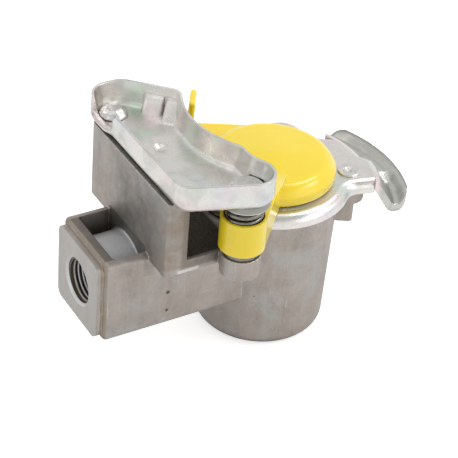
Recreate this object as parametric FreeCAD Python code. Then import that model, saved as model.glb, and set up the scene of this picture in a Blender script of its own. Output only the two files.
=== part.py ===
import FreeCAD, Part
import math
import os

V = FreeCAD.Vector
UP = V(0, 0, 1)

# Frame: the origin is the centre of the cup's flat base, +Z points up through the coupling face,
# and the hose port points along -X. Every length is in millimetres and every angle in degrees.

# Cup of the casting
cup_base_radius = 23.4
cup_top_radius = 24.8
cup_base_fillet = 4.8
cup_rim_rounding = 1.4
seat_height = 57.5
cup_floor_thickness = 7.0
chamber_radius = 14.5
sleeve_bore_radius = 17.0
sleeve_depth = 15.0

# Port arm with its square end block and machined collar
port_axis_drop = 21.5
arm_width = 32.0
arm_corner_radius = 1.8
block_end = 71.8
collar_width = 29.0
collar_height = 30.0
collar_reach = 2.4
collar_corner_radius = 3.0
thread_radius = 8.0
thread_depth = 16.0
thread_chamfer = 0.9
passage_radius = 6.0
pocket_wall = 2.7
pocket_end_wall = 4.1
port_tube_radius = 13.6
pocket_depth = 12.0
pocket_corner_radius = 1.5

# Tower wall, deck and raised pad of the casting
tower_face = 55.7
tower_front = 26.8
tower_back = 28.0
tower_end_thickness = 8.0
tower_waist_thickness = 4.2
deck_drop = 2.6
deck_thickness = 4.9
deck_reach = 31.0
deck_corner_radius = 4.0
deck_join_depth = 4.0
casting_edge_radius = 1.2
claw_slot_height = 19.0
tower_boss_radius = 6.3

# Pivot pin and its boss
pin_x = -30.7
pin_y = -32.7
pin_radius = 4.0
pin_head_radius = 6.2
pin_head_height = 2.6
pin_tail_radius = 5.2
pin_tail_height = 1.6
edge_share = 0.45
pivot_boss_radius = 6.8
bridge_end_x = -16.0
bridge_margin = 2.0
running_clearance = 0.06
seated_clearance = 0.05
washer_radius = 6.2
washer_thickness = 2.3
body_clearance = 0.2

# Steel pressings
guide_sheet = 2.5
claw_sheet = 2.5
claw_wall_height = 11.0
claw_bend_radius = 4.2
claw_left_corner_radius = 6.5
claw_back_corner_radius = 8.5
claw_back_edge = 33.3
claw_back_length = 13.0
claw_flare = 1.3
claw_flare_start = 15.0
claw_flare_length = 4.0
claw_lobe_radius = 8.8
claw_arc_radius = 32.2
claw_arc_start = 153.0
claw_arc_end = 214.0
claw_nose_length = 3.95
claw_nose_radius = 4.4
claw_diagonal_radius = 6.0
claw_lobe_rounding = 7.6
claw_lobe_reach = 8.4
claw_lobe_shoulder = 0.5
claw_lobe_shoulder_radius = 6.0
claw_exit_length = 2.0
claw_exit_radius = 5.0
claw_waist_x = -25.2
claw_waist_y = -26.8
claw_waist_radius = 6.0
claw_rim_thickness = 0.9
claw_seat_radius = 8.3
claw_seat_drop = 1.6
claw_seat_rounding = 0.8
stop_distance = 12.8
stop_width = 7.0
stop_depth = 5.0
stop_taper = 4.4
stop_dent_depth = 2.6
nose_gusset_distance = 20.6
nose_gusset_width = 6.4
nose_gusset_depth = 9.0
nose_gusset_taper = 7.6
stop_height = 8.0
stop_rounding = 1.2
stop_wall = 1.3
claw_front_slope = 0.3485
claw_low_lip_height = 3.4
claw_low_lip_start = 14.0
claw_low_lip_end = 27.3
claw_low_lip_rounding = 3.0
claw_low_lip_corner = 4.0
dimple_x = -44.0
dimple_y = 1.0
dimple_radius = 2.4
dimple_depth = 0.9

# Guide plate on the cup
ring_radius = 28.3
ring_hole_radius = 17.4
guide_flange_depth = 4.3
guide_bend_radius = 3.9
guide_junction_radius = 5.5
ear_angle = 50.0
ear_distance = 27.6
ear_radius = 8.4
neck_root = 13.6
neck_back = 11.8
neck_reach = 32.6
neck_waist = 28.6
wing_rim_radius = 49.8
wing_rim_drop = 6.4
wing_back_drop = 9.0
wing_front_drop = 11.0
wing_floor_start = 42.6
wing_floor_end = 46.6
wing_shoulder_radius = 34.6
wing_step_radius = 38.0
wing_bend_radius = 1.0
wing_back_angle = 32.5
wing_step_start = -7.0
wing_step_end = -12.0
wing_front_angle = -28.5
wing_neck_lap = 6.0
wing_step_fade = 0.6
wing_spare_angle = 6.0
wing_corner_rounding = 5.0

# Rivets that hold the pressings
wing_rivet_x = 25.8
wing_rivet_y = -10.8
guide_rivet_shank_radius = 2.9
guide_rivet_bore_radius = 1.7
guide_rivet_head_radius = 4.0
guide_rivet_head_height = 0.7
guide_rivet_tail_radius = 4.1
guide_rivet_tail_height = 1.2
rivet_tool_clearance = 0.8
wing_lug_radius = 6.3
skirt_clearance = 0.3
lug_height = 7.6
lug_web_thickness = 6.0
lug_web_drop = 7.0
lug_web_reach = 30.5
lug_web_turn = -7.0
lug_root_depth = 3.0
claw_rivet_x = -49.0
claw_rivet_y = 25.6
claw_rivet_shank_radius = 3.6
claw_rivet_head_radius = 5.1
claw_rivet_head_height = 2.8
claw_rivet_dome_share = 0.55
claw_rivet_depth = 22.0

# Dust cover
cover_lift_gap = 1.0
lid_radius = 22.8
lid_skirt_height = 3.2
lid_shoulder_radius = 20.0
lid_shoulder_height = 6.8
lid_crown_height = 8.0
lid_wall = 2.3
lid_edge_rounding = 0.6
lid_skirt_rounding = 1.2
lid_shoulder_rounding = 4.0
hub_radius = 7.9
hub_height = 12.7
hub_wall = 1.1
hub_floor_thickness = 4.0
web_side_margin = 0.1
web_inner_end = 6.0
web_foot = 8.0
web_foot_drop = 0.5
web_shoulder = 6.0
tail_thickness = 2.4
tail_half_width = 3.0
tail_margin = 0.6
tail_corner_radius = 2.5
tail_root_angle = 62.0
tail_flank_angle = 155.0
tail_knee_x = 5.5
tail_knee_y = 24.8
tail_knee_radius = 3.0
tab_x = -16.0
tab_y = 30.2
tab_angle = 57.0
tab_length = 10.0
tab_thickness = 2.4
tab_height = 16.9
tab_lean = 2.5
tab_top_share = 0.4

# Cover spring
cover_spring_wire = 1.8
cover_spring_turns = 5.6
cover_spring_side_gap = 0.35
spring_end_gap = 0.05

# Shut-off valve in the cup
sleeve_height = 12.6
sleeve_bore = 11.4
sleeve_wall_clearance = 0.05
retainer_thickness = 1.3
retainer_depth = 1.2
retainer_width = 2.6
retainer_gap_angle = 40.0
retainer_play = 0.15
outer_seal_rise = 2.6
inner_seal_rise = 6.2
o_ring_wire = 1.25
o_ring_squeeze = 0.25
o_ring_groove_play = 0.2
stem_wall = 2.4
stem_clearance = 0.08
stem_window_height = 2.8
stem_window_rise = 0.6
stem_window_width = 9.0
valve_flange_thickness = 3.0
valve_flange_radius = 13.3
valve_seal_thickness = 2.6
valve_seal_gap = 0.1
valve_head_thickness = 2.6
valve_head_radius = 14.6
valve_travel = 3.0
valve_clearance = 0.3
face_seal_height = 3.6
face_seal_radius = 15.2
face_seal_bore = 9.6
face_seal_proud = 0.6
face_seal_foot_rounding = 0.6
face_seal_lip_height = 1.2
face_seal_lip_taper = 1.6
face_seal_lip_rounding = 0.5
face_seal_mouth_height = 1.0
face_seal_mouth_taper = 1.2
face_seal_mouth_rounding = 0.4
valve_spring_wire = 1.6
valve_spring_turns = 5.0
valve_spring_radius = 10.2

# Two points or heights that differ by less than this are the same
same_place = 1e-6

# Heights and places that follow from the sizes above
plate_top = seat_height + guide_sheet
skirt_bottom = plate_top - guide_flange_depth
sleeve_shoulder_height = seat_height - sleeve_depth
deck_top = seat_height - deck_drop
deck_bottom = deck_top - deck_thickness
claw_underside = plate_top + claw_slot_height
claw_floor_top = claw_underside + claw_sheet
stop_top = claw_underside + stop_height
wing_rim_height = plate_top - wing_rim_drop
wing_bottom = plate_top - wing_front_drop - 2 * guide_sheet
claw_rim_top = claw_underside + claw_wall_height
collar_face = block_end + collar_reach
port_axis_height = seat_height - port_axis_drop
arm_bottom = port_axis_height - arm_width / 2
arm_top = port_axis_height + arm_width / 2
washer_top = seat_height + washer_thickness
hub_bottom = washer_top + body_clearance
lid_bottom = plate_top + cover_lift_gap
sleeve_top = sleeve_shoulder_height + sleeve_height
o_ring_groove = o_ring_wire * 2 + o_ring_groove_play
valve_flange_top = sleeve_shoulder_height - valve_seal_thickness - valve_seal_gap
valve_flange_bottom = valve_flange_top - valve_flange_thickness
outer_seal_height = sleeve_shoulder_height + outer_seal_rise
inner_seal_height = sleeve_shoulder_height + inner_seal_rise
pin_place = V(pin_x, pin_y, 0)
wing_rivet_place = V(wing_rivet_x, wing_rivet_y, 0)
claw_rivet_place = V(claw_rivet_x, claw_rivet_y, 0)


def polar(radius, angle, z=0.0):
    """Point at a radius and an angle about the cup axis."""
    return V(radius * math.cos(math.radians(angle)), radius * math.sin(math.radians(angle)), z)


ear_rivet_place = polar(ear_distance, ear_angle)


def cylinder(radius, bottom, top, place=V(0, 0, 0)):
    """Upright cylinder between two heights."""
    return Part.makeCylinder(radius, top - bottom, V(place.x, place.y, bottom), UP)


def box(x_range, y_range, z_range):
    """Box between three pairs of limits."""
    size = [pair[1] - pair[0] for pair in (x_range, y_range, z_range)]
    return Part.makeBox(size[0], size[1], size[2], V(x_range[0], y_range[0], z_range[0]))


def rounded_wire(corners, place):
    """Closed wire through (u, v, radius) corners, where a radius of 0 keeps the corner sharp."""
    points = [V(u, v, 0) for u, v, radius in corners]
    stretches = []
    for index, (u, v, radius) in enumerate(corners):
        corner = points[index]
        to_before = (points[index - 1] - corner).normalize()
        to_after = (points[(index + 1) % len(points)] - corner).normalize()
        if radius == 0:
            stretches.append((corner, None, corner))
            continue
        half = to_before.getAngle(to_after) / 2
        reach = radius / math.tan(half)
        middle = corner + (to_before + to_after).normalize() * (radius / math.sin(half) - radius)
        stretches.append((corner + to_before * reach, middle, corner + to_after * reach))
    edges = []
    for index, (start, middle, end) in enumerate(stretches):
        previous_end = stretches[index - 1][2]
        if previous_end.distanceToPoint(start) > same_place:
            edges.append(Part.LineSegment(place(previous_end), place(start)).toShape())
        if middle is not None:
            edges.append(Part.Arc(place(start), place(middle), place(end)).toShape())
    return Part.Wire(edges)


def plan_prism(corners, bottom, top):
    """Upright prism over a plan outline of (x, y, radius) corners."""
    wire = rounded_wire(corners, lambda point: V(point.x, point.y, bottom))
    return Part.Face(wire).extrude(V(0, 0, top - bottom))


def turned(corners, sweep=360.0, start=0.0):
    """Solid turned about the cup axis from (radius, height, corner radius) corners."""
    direction = polar(1.0, start)
    wire = rounded_wire(corners, lambda point: V(direction.x * point.x, direction.y * point.x, point.y))
    return Part.Face(wire).revolve(V(0, 0, 0), UP, sweep)


def moved(shape, place):
    """Copy of a shape carried from the cup axis to another place."""
    copy = shape.copy()
    copy.translate(place)
    return copy


def fuse_all(shapes):
    """One solid out of several that overlap or touch."""
    joined = shapes[0]
    for shape in shapes[1:]:
        joined = joined.fuse(shape)
    joined = joined.removeSplitter()
    return joined.Solids[0] if len(joined.Solids) == 1 else joined


def cut_all(shape, cutters):
    """The shape with every cutter taken out of it, one after another."""
    for cutter in cutters:
        shape = shape.cut(cutter)
    return shape


def upright_edges(shape, keep):
    """Straight vertical edges whose plan point passes a test."""
    chosen = []
    for edge in shape.Edges:
        first, last = edge.Vertexes[0].Point, edge.Vertexes[-1].Point
        offset = math.hypot(first.x - last.x, first.y - last.y)
        is_upright = offset < same_place < abs(first.z - last.z)
        if is_upright and keep(first):
            chosen.append(edge)
    return chosen


def level_edges(shape, height):
    """Edges that lie in one horizontal plane."""
    return [edge for edge in shape.Edges
            if max(abs(edge.BoundBox.ZMin - height), abs(edge.BoundBox.ZMax - height)) < same_place]


def inset_corners(corners, distance):
    """Outline corners moved inwards by a distance, each rounding staying parallel to its old one."""
    points = [V(u, v, 0) for u, v, radius in corners]
    turning = sum(points[index - 1].cross(point).z for index, point in enumerate(points))
    inward = 1 if turning > 0 else -1
    moved_corners = []
    for index, (u, v, radius) in enumerate(corners):
        before = (points[index] - points[index - 1]).normalize()
        after = (points[(index + 1) % len(points)] - points[index]).normalize()
        normal_before = V(-before.y, before.x, 0) * inward
        normal_after = V(-after.y, after.x, 0) * inward
        shift = (normal_before + normal_after) * (distance / (1 + normal_before.dot(normal_after)))
        is_convex = before.cross(after).z * inward > 0
        if radius > 0:
            radius = max(radius - distance, 0) if is_convex else radius + distance
        moved_corners.append((u + shift.x, v + shift.y, radius))
    return moved_corners


def pressed_pan(block, inner_block, floor_height, inner_floor, bend):
    """Drawn sheet-metal pan: the block less its inset copy, with the floor's edge rolled inside and out."""
    sheet = abs(floor_height - inner_floor)
    hollow = inner_block.makeFillet(bend - sheet, level_edges(inner_block, inner_floor))
    return block.makeFillet(bend, level_edges(block, floor_height)).cut(hollow)


def sheet_section(path, sheet, bend):
    """Corners of a bent sheet's section: the path is its upper side, and every bend is rounded."""
    points = [V(r, z, 0) for r, z in path]
    lower = []
    for index, point in enumerate(points):
        ahead = points[min(index + 1, len(points) - 1)] - points[min(index, len(points) - 2)]
        behind = points[max(index, 1)] - points[max(index - 1, 0)]
        normal_ahead = V(ahead.y, -ahead.x, 0).normalize()
        normal_behind = V(behind.y, -behind.x, 0).normalize()
        mitre = (normal_ahead + normal_behind).normalize()
        lower.append(point + mitre * (sheet / mitre.dot(normal_ahead)))
    corners = []
    for side, outward in ((points, 1), (list(reversed(lower)), -1)):
        for index, point in enumerate(side):
            if index in (0, len(side) - 1):
                corners.append((point.x, point.y, 0))
                continue
            turn = (point - side[index - 1]).cross(side[index + 1] - point).z
            is_outer_side = turn < 0
            corners.append((point.x, point.y, bend + sheet if is_outer_side else bend))
    return corners


def hollow_rivet(place, head_bottom, tail_top, head, tail, shank_radius, bore_radius):
    """Tubular rivet: a low head, a shank and a rolled tail round one dimpled bore."""
    head_radius, head_height = head
    tail_radius, tail_height = tail
    solid = fuse_all([
        cylinder(head_radius, head_bottom, head_bottom + head_height),
        cylinder(shank_radius, tail_top - tail_height, head_bottom + head_height),
        cylinder(tail_radius, tail_top - tail_height, tail_top),
    ])
    head_top = head_bottom + head_height
    rim = [edge for edge in level_edges(solid, head_top) if edge.BoundBox.XLength > head_radius]
    solid = solid.makeChamfer(head_height * edge_share, rim)
    solid = solid.cut(cylinder(bore_radius, tail_top - tail_height - 1, head_bottom - bore_radius))
    dimple = Part.makeCone(0, bore_radius, bore_radius / 2, V(0, 0, head_top - bore_radius / 2))
    return moved(solid.cut(dimple), place)


def coil_spring(mean_radius, wire, bottom, top, turns, place=V(0, 0, 0)):
    """Helical spring whose end coils touch the bottom and top heights."""
    rise = top - bottom - wire
    helix = Part.makeHelix(rise / turns, rise, mean_radius)
    slope = rise / turns / (2 * math.pi * mean_radius)
    section = Part.Wire(Part.makeCircle(wire / 2, V(mean_radius, 0, 0), V(0, 1, slope)))
    coil = Part.Wire(helix.Edges).makePipeShell([section], True, True)
    coil.translate(V(place.x, place.y, bottom + wire / 2))
    return coil


def lug(place, radius, web_turn):
    """Round boss on the cup wall that a plate rivet passes through, with a web below it."""
    distance = math.hypot(place.x, place.y)
    bottom = seat_height - lug_height
    root = cup_base_radius - lug_root_depth
    half_web = lug_web_thickness / 2
    bridge = box((root, distance), (-radius, radius), (bottom, seat_height))
    web = box((root, lug_web_reach), (-half_web, half_web), (bottom - lug_web_drop, seat_height))
    web = web.makeFillet(lug_web_thickness / 4, upright_edges(web, lambda p: p.x > cup_base_radius))
    web.rotate(V(0, 0, 0), UP, web_turn)
    shape = fuse_all([bridge, web, cylinder(radius, bottom, seat_height, V(distance, 0, 0))])
    shape.rotate(V(0, 0, 0), UP, math.degrees(math.atan2(place.y, place.x)))
    top_zone = cylinder(2 * distance, skirt_bottom - skirt_clearance, seat_height)
    inside_skirt = guide_block(guide_sheet + skirt_clearance, skirt_bottom - 1, seat_height)
    top_edges = level_edges(inside_skirt, seat_height)
    inside_skirt = inside_skirt.makeFillet(guide_bend_radius - guide_sheet, top_edges)
    inside_wing = cylinder(neck_reach - skirt_clearance, skirt_bottom - 1, seat_height + 2)
    return shape.cut(top_zone.cut(inside_skirt.common(inside_wing)))


def tower():
    """Upright wall under the claw plate: a shallow hollow faces the cup, a round boss takes the rivet."""
    half_length = (tower_front + tower_back) / 2
    middle_y = (tower_back - tower_front) / 2
    sagitta = tower_end_thickness - tower_waist_thickness
    hollow_radius = (half_length ** 2 + sagitta ** 2) / (2 * sagitta)
    wall = box((-tower_face, -tower_face + tower_end_thickness), (-tower_front, tower_back),
               (deck_bottom, claw_underside))
    hollow = cylinder(hollow_radius, deck_top, claw_underside + 1,
                      V(-tower_face + tower_waist_thickness + hollow_radius, middle_y, 0))
    wall = wall.cut(hollow)
    wall = wall.makeFillet(casting_edge_radius, upright_edges(wall, lambda p: p.x < -tower_face + 1))
    rivet_boss = cylinder(tower_boss_radius, deck_bottom, claw_underside, V(claw_rivet_x, claw_rivet_y, 0))
    inside = box((-tower_face, 0), (0, tower_back * 2), (deck_bottom, claw_underside))
    return fuse_all([wall, rivet_boss.common(inside)])


def deck():
    """Slab under the claw slot that joins tower, pivot boss and cup."""
    corners = [
        (-tower_face, -tower_front, casting_edge_radius),
        (pin_x, -tower_front, 0),
        (0, -cup_top_radius + deck_join_depth, 0),
        (0, cup_top_radius - deck_join_depth, 0),
        (-deck_reach, tower_back, deck_corner_radius),
        (-tower_face, tower_back, casting_edge_radius),
    ]
    return plan_prism(corners, deck_bottom, deck_top)


def port_arm():
    """Square arm with a rounded long edge and the raised collar round the port."""
    arm = box((-block_end, 0), (-arm_width / 2, arm_width / 2), (arm_bottom, arm_top))
    long_edges = [edge for edge in arm.Edges if edge.BoundBox.XLength > block_end / 2]
    end_edges = [edge for edge in arm.Edges
                 if edge.BoundBox.XMax < -block_end + same_place and edge.BoundBox.XLength < same_place]
    arm = arm.makeFillet(arm_corner_radius, long_edges + end_edges)
    collar = box((-collar_face, -block_end + arm_corner_radius), (-collar_width / 2, collar_width / 2),
                 (port_axis_height - collar_height / 2, port_axis_height + collar_height / 2))
    corner_edges = [edge for edge in collar.Edges if edge.BoundBox.XLength > same_place]
    collar = collar.makeFillet(collar_corner_radius, corner_edges)
    return arm.fuse(collar)


def port_pocket():
    """Open pocket in the top of the arm, over the round port tube."""
    half = arm_width / 2 - pocket_wall
    corners = [
        (-block_end + pocket_end_wall, -half, pocket_corner_radius),
        (-tower_face, -half, 0),
        (-tower_face, half, 0),
        (-block_end + pocket_end_wall, half, pocket_corner_radius),
    ]
    pocket = plan_prism(corners, arm_top - pocket_depth, arm_top + 1)
    tube_start = V(-block_end, 0, port_axis_height)
    tube = Part.makeCylinder(port_tube_radius, block_end, tube_start, V(1, 0, 0))
    return pocket.cut(tube)


def port_bore():
    """Threaded mouth with its chamfer and the passage to the valve chamber."""
    mouth = V(-collar_face, 0, port_axis_height)
    along = V(1, 0, 0)
    thread = Part.makeCylinder(thread_radius, thread_depth, mouth, along)
    passage = Part.makeCylinder(passage_radius, collar_face, mouth, along)
    chamfer = Part.makeCone(thread_radius + thread_chamfer, thread_radius, thread_chamfer, mouth, along)
    return fuse_all([thread, passage, chamfer])


def body_casting():
    """Die-cast body: cup, port arm, deck, tower, pivot boss and rivet lugs in one piece."""
    cup = turned([
        (0, 0, 0),
        (cup_base_radius, 0, cup_base_fillet),
        (cup_top_radius, seat_height, cup_rim_rounding),
        (0, seat_height, 0),
    ])
    pivot_boss = cylinder(pivot_boss_radius, deck_bottom, seat_height, pin_place)
    boss_bridge = plan_prism([
        (pin_x - pivot_boss_radius + bridge_margin, -tower_front, 0),
        (pin_x - pivot_boss_radius + bridge_margin, pin_y, 0),
        (pin_x, pin_y, 0),
        (bridge_end_x, -cup_top_radius + deck_join_depth, 0),
        (bridge_end_x, -tower_front / 2, 0),
    ], deck_bottom, deck_top)
    solid = fuse_all([
        cup,
        port_arm(),
        deck(),
        tower(),
        pivot_boss,
        boss_bridge,
        lug(wing_rivet_place, wing_lug_radius, lug_web_turn),
        lug(ear_rivet_place, ear_radius - guide_sheet - skirt_clearance, 0),
    ])
    retainer_groove_bottom = sleeve_top + sleeve_wall_clearance
    cutters = [
        port_pocket(),
        port_bore(),
        cylinder(chamber_radius, cup_floor_thickness, seat_height + 1),
        cylinder(sleeve_bore_radius, sleeve_shoulder_height, seat_height + 1),
        cylinder(sleeve_bore_radius + retainer_depth, retainer_groove_bottom,
                 retainer_groove_bottom + retainer_thickness + 2 * sleeve_wall_clearance),
        cylinder(pin_radius + seated_clearance, deck_bottom - 1, seat_height + 1, pin_place),
        cylinder(pin_tail_radius + seated_clearance, deck_bottom - 1,
                 deck_bottom + pin_tail_height, pin_place),
        cylinder(claw_rivet_shank_radius + seated_clearance, claw_floor_top - claw_rivet_depth,
                 claw_underside + 1, claw_rivet_place),
    ]
    lug_bottom = seat_height - lug_height
    for place in (wing_rivet_place, ear_rivet_place):
        cutters.append(cylinder(guide_rivet_shank_radius + seated_clearance,
                                lug_bottom - lug_web_drop - 1, seat_height + 1, place))
        cutters.append(cylinder(guide_rivet_tail_radius + rivet_tool_clearance,
                                lug_bottom - lug_web_drop - 1, lug_bottom, place))
    return cut_all(solid, cutters)


def claw_nose_corner():
    """Sharp plan corner where the claw's concave arc meets its diagonal back wall."""
    return polar(claw_arc_radius, claw_arc_start) + polar(1.0, claw_arc_start - 90) * claw_nose_length


def claw_back_corner():
    """Sharp plan corner where the diagonal wall meets the back wall."""
    return V(-tower_face + claw_back_length, claw_back_edge, 0)


def claw_outline():
    """Plan corners of the claw plate: straight outer wall, diagonal back, concave arc and pin lobe."""
    middle = (claw_arc_start + claw_arc_end) / 2
    half = (claw_arc_end - claw_arc_start) / 2
    arc_corner = polar(claw_arc_radius / math.cos(math.radians(half)), middle)
    nose = claw_nose_corner()
    back = claw_back_corner()
    lobe_side = pin_x + claw_lobe_reach
    leaving = polar(claw_arc_radius, claw_arc_end) + polar(claw_exit_length, claw_arc_end + 90)
    front_slant = math.hypot(1.0, claw_front_slope)
    lobe_bottom_y = pin_y - claw_lobe_radius * front_slant - claw_lobe_radius * claw_front_slope
    left_front_y = lobe_bottom_y + (lobe_side + tower_face) * claw_front_slope
    return [
        (-tower_face, left_front_y, claw_left_corner_radius),
        (lobe_side, lobe_bottom_y, claw_lobe_rounding),
        (lobe_side, pin_y + claw_lobe_shoulder, claw_lobe_shoulder_radius),
        (claw_waist_x, claw_waist_y, claw_waist_radius),
        (leaving.x, leaving.y, claw_exit_radius),
        (arc_corner.x, arc_corner.y, claw_arc_radius),
        (nose.x, nose.y, claw_nose_radius),
        (back.x, back.y, claw_diagonal_radius),
        (-tower_face - claw_flare, claw_back_edge, claw_back_corner_radius),
        (-tower_face - claw_flare, claw_flare_start + claw_flare_length, claw_flare_length),
        (-tower_face, claw_flare_start, claw_flare_length),
    ]


def wall_wedge(distance, depth, taper, half_width, bottom, top):
    """Wedge on the diagonal wall, thick at its foot; the depth is counted from the wall's outer face."""
    corner = claw_back_corner()
    along = (claw_nose_corner() - corner).normalize()
    profile = Part.makePolygon([
        V(0, 0, bottom), V(depth, 0, bottom), V(depth - taper, 0, top), V(0, 0, top), V(0, 0, bottom)])
    wedge = Part.Face(profile).extrude(V(0, 2 * half_width, 0))
    wedge.translate(V(0, -half_width, 0))
    front_edges = [edge for edge in wedge.Edges if edge.BoundBox.XMin > depth - taper - 1e-3
                   and edge.BoundBox.ZMax > bottom + 1e-3]
    wedge = wedge.makeFillet(stop_rounding, front_edges)
    wedge.rotate(V(0, 0, 0), UP, math.degrees(math.atan2(along.y, along.x)) - 90)
    wedge.translate(corner + along * distance)
    return wedge


def claw_hollow():
    """Inside of the tray: its walls lean out to a thin rim, and its floor's edge is rolled."""
    rim_top = claw_rim_top + claw_sheet
    wires = []
    for height in (claw_floor_top, rim_top):
        share = (height - claw_floor_top) / (claw_rim_top - claw_floor_top)
        inset = claw_sheet - (claw_sheet - claw_rim_thickness) * share
        wires.append(rounded_wire(inset_corners(claw_outline(), inset),
                                  lambda point, z=height: V(point.x, point.y, z)))
    hollow = Part.makeLoft(wires, True, True)
    return hollow.makeFillet(claw_bend_radius - claw_sheet, level_edges(hollow, claw_floor_top))


def claw_lip_cutters():
    """Room over the rivet corner's low lip, and the rounding of the tall wall's end beside it."""
    across = (-tower_face - 2 * claw_sheet, -tower_face + claw_bend_radius)
    lip_top = claw_underside + claw_low_lip_height
    low_corner = box(across, (claw_low_lip_start, claw_low_lip_end), (lip_top, claw_rim_top + 1))
    low_corner = low_corner.makeFillet(claw_low_lip_rounding, [
        edge for edge in level_edges(low_corner, lip_top)
        if edge.BoundBox.XLength > claw_sheet and edge.BoundBox.YMax < claw_low_lip_start + 1])
    middle_y = claw_low_lip_start - claw_low_lip_corner
    middle_z = claw_rim_top - claw_low_lip_corner
    round_corner = box(across, (middle_y, claw_low_lip_start + 1), (middle_z, claw_rim_top + 1))
    rounding = Part.makeCylinder(claw_low_lip_corner, 2 * (across[1] - across[0]),
                                 V(2 * across[0] - across[1], middle_y, middle_z), V(1, 0, 0))
    return [low_corner, round_corner.cut(rounding)]


def claw_seat():
    """Pressed seat under the lobe that the cover spring bears on."""
    bottom = claw_underside - claw_seat_drop
    seat = cylinder(claw_seat_radius, bottom, claw_floor_top - claw_sheet / 2, pin_place)
    seat = seat.makeFillet(claw_seat_rounding, level_edges(seat, bottom))
    return seat.common(plan_prism(claw_outline(), bottom - claw_seat_drop, claw_rim_top))


def claw_dimple():
    """Round dent in the tray's floor."""
    radius = (dimple_radius ** 2 + dimple_depth ** 2) / (2 * dimple_depth)
    return Part.makeSphere(radius, V(dimple_x, dimple_y, claw_floor_top - dimple_depth + radius))


def claw_plate():
    """Upper pressing: a deep tray with upturned walls, cut low at the rivet corner."""
    block = plan_prism(claw_outline(), claw_underside, claw_rim_top)
    block = block.makeFillet(claw_bend_radius, level_edges(block, claw_underside))
    foot = claw_floor_top - claw_sheet / 2
    stop = wall_wedge(stop_distance, claw_sheet + stop_depth, stop_taper, stop_width / 2, foot, stop_top)
    gusset = wall_wedge(nose_gusset_distance, claw_sheet + nose_gusset_depth, nose_gusset_taper,
                        nose_gusset_width / 2, foot, stop_top)
    dent = wall_wedge(stop_distance, stop_dent_depth, stop_taper / 4, stop_width / 2 - stop_wall,
                      claw_underside + claw_bend_radius, stop_top - stop_wall)
    tray = cut_all(block, [claw_hollow()] + claw_lip_cutters())
    tray = fuse_all([tray, stop.common(block), gusset.common(block), claw_seat()])
    below = claw_underside - 2 * claw_seat_drop
    return cut_all(tray, [
        dent,
        claw_dimple(),
        cylinder(pin_radius + seated_clearance, below, claw_floor_top + 1, pin_place),
        cylinder(pin_head_radius + seated_clearance, claw_floor_top,
                 claw_floor_top + pin_head_height, pin_place),
        cylinder(claw_rivet_shank_radius + seated_clearance, below, claw_floor_top + 1, claw_rivet_place),
        cylinder(claw_rivet_head_radius + seated_clearance, claw_floor_top, claw_rim_top, claw_rivet_place),
    ])


def claw_rivet():
    """Large domed rivet that holds the claw plate on the tower pad."""
    top = claw_floor_top + claw_rivet_head_height
    head = cylinder(claw_rivet_head_radius, claw_floor_top, top)
    head = head.makeFillet(claw_rivet_head_height * claw_rivet_dome_share, level_edges(head, top))
    shank_bottom = claw_floor_top - claw_rivet_depth + seated_clearance
    shank = cylinder(claw_rivet_shank_radius, shank_bottom, claw_floor_top)
    return moved(head.fuse(shank).removeSplitter(), claw_rivet_place)


def neck_front_y(x):
    """Front edge of the neck and wing: one straight line from the ring to the wing's front corner."""
    corner = polar(wing_rim_radius, wing_front_angle)
    return -neck_root + (corner.y + neck_root) * x / corner.x


def neck_front_roll():
    """Room of the rolled front edge, from the neck to where the wing begins to slope."""
    far = wing_rim_radius
    slope = (neck_front_y(far) - neck_front_y(0)) / far
    roll = guide_bend_radius * math.hypot(1, slope)
    band = plan_prism([
        (0, neck_front_y(0) - 1, 0),
        (far, neck_front_y(far) - 1, 0),
        (far, neck_front_y(far) + roll, 0),
        (0, neck_front_y(0) + roll, 0),
    ], skirt_bottom - 2, plate_top + 2)
    return band.common(cylinder(wing_step_radius - wing_bend_radius, skirt_bottom - 2, plate_top + 2))


def wing_corners(shoulder, floor_drop):
    """Section corners of the wing's trough: flat, shoulder, slope, floor and upturned rim."""
    slope_shift = (shoulder - wing_shoulder_radius) * wing_step_fade
    path = [
        (neck_reach - wing_neck_lap / 2, plate_top),
        (shoulder, plate_top),
        (wing_floor_start + slope_shift, plate_top - floor_drop),
        (wing_floor_end, plate_top - floor_drop),
        (wing_rim_radius, wing_rim_height),
    ]
    return sheet_section(path, guide_sheet, wing_bend_radius)


def wing_section(angle, shoulder, floor_drop):
    """The trough's section as a wire that stands at one angle about the cup axis."""
    direction = polar(1.0, angle)
    return rounded_wire(wing_corners(shoulder, floor_drop),
                        lambda point: V(direction.x * point.x, direction.y * point.x, point.y))


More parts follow.
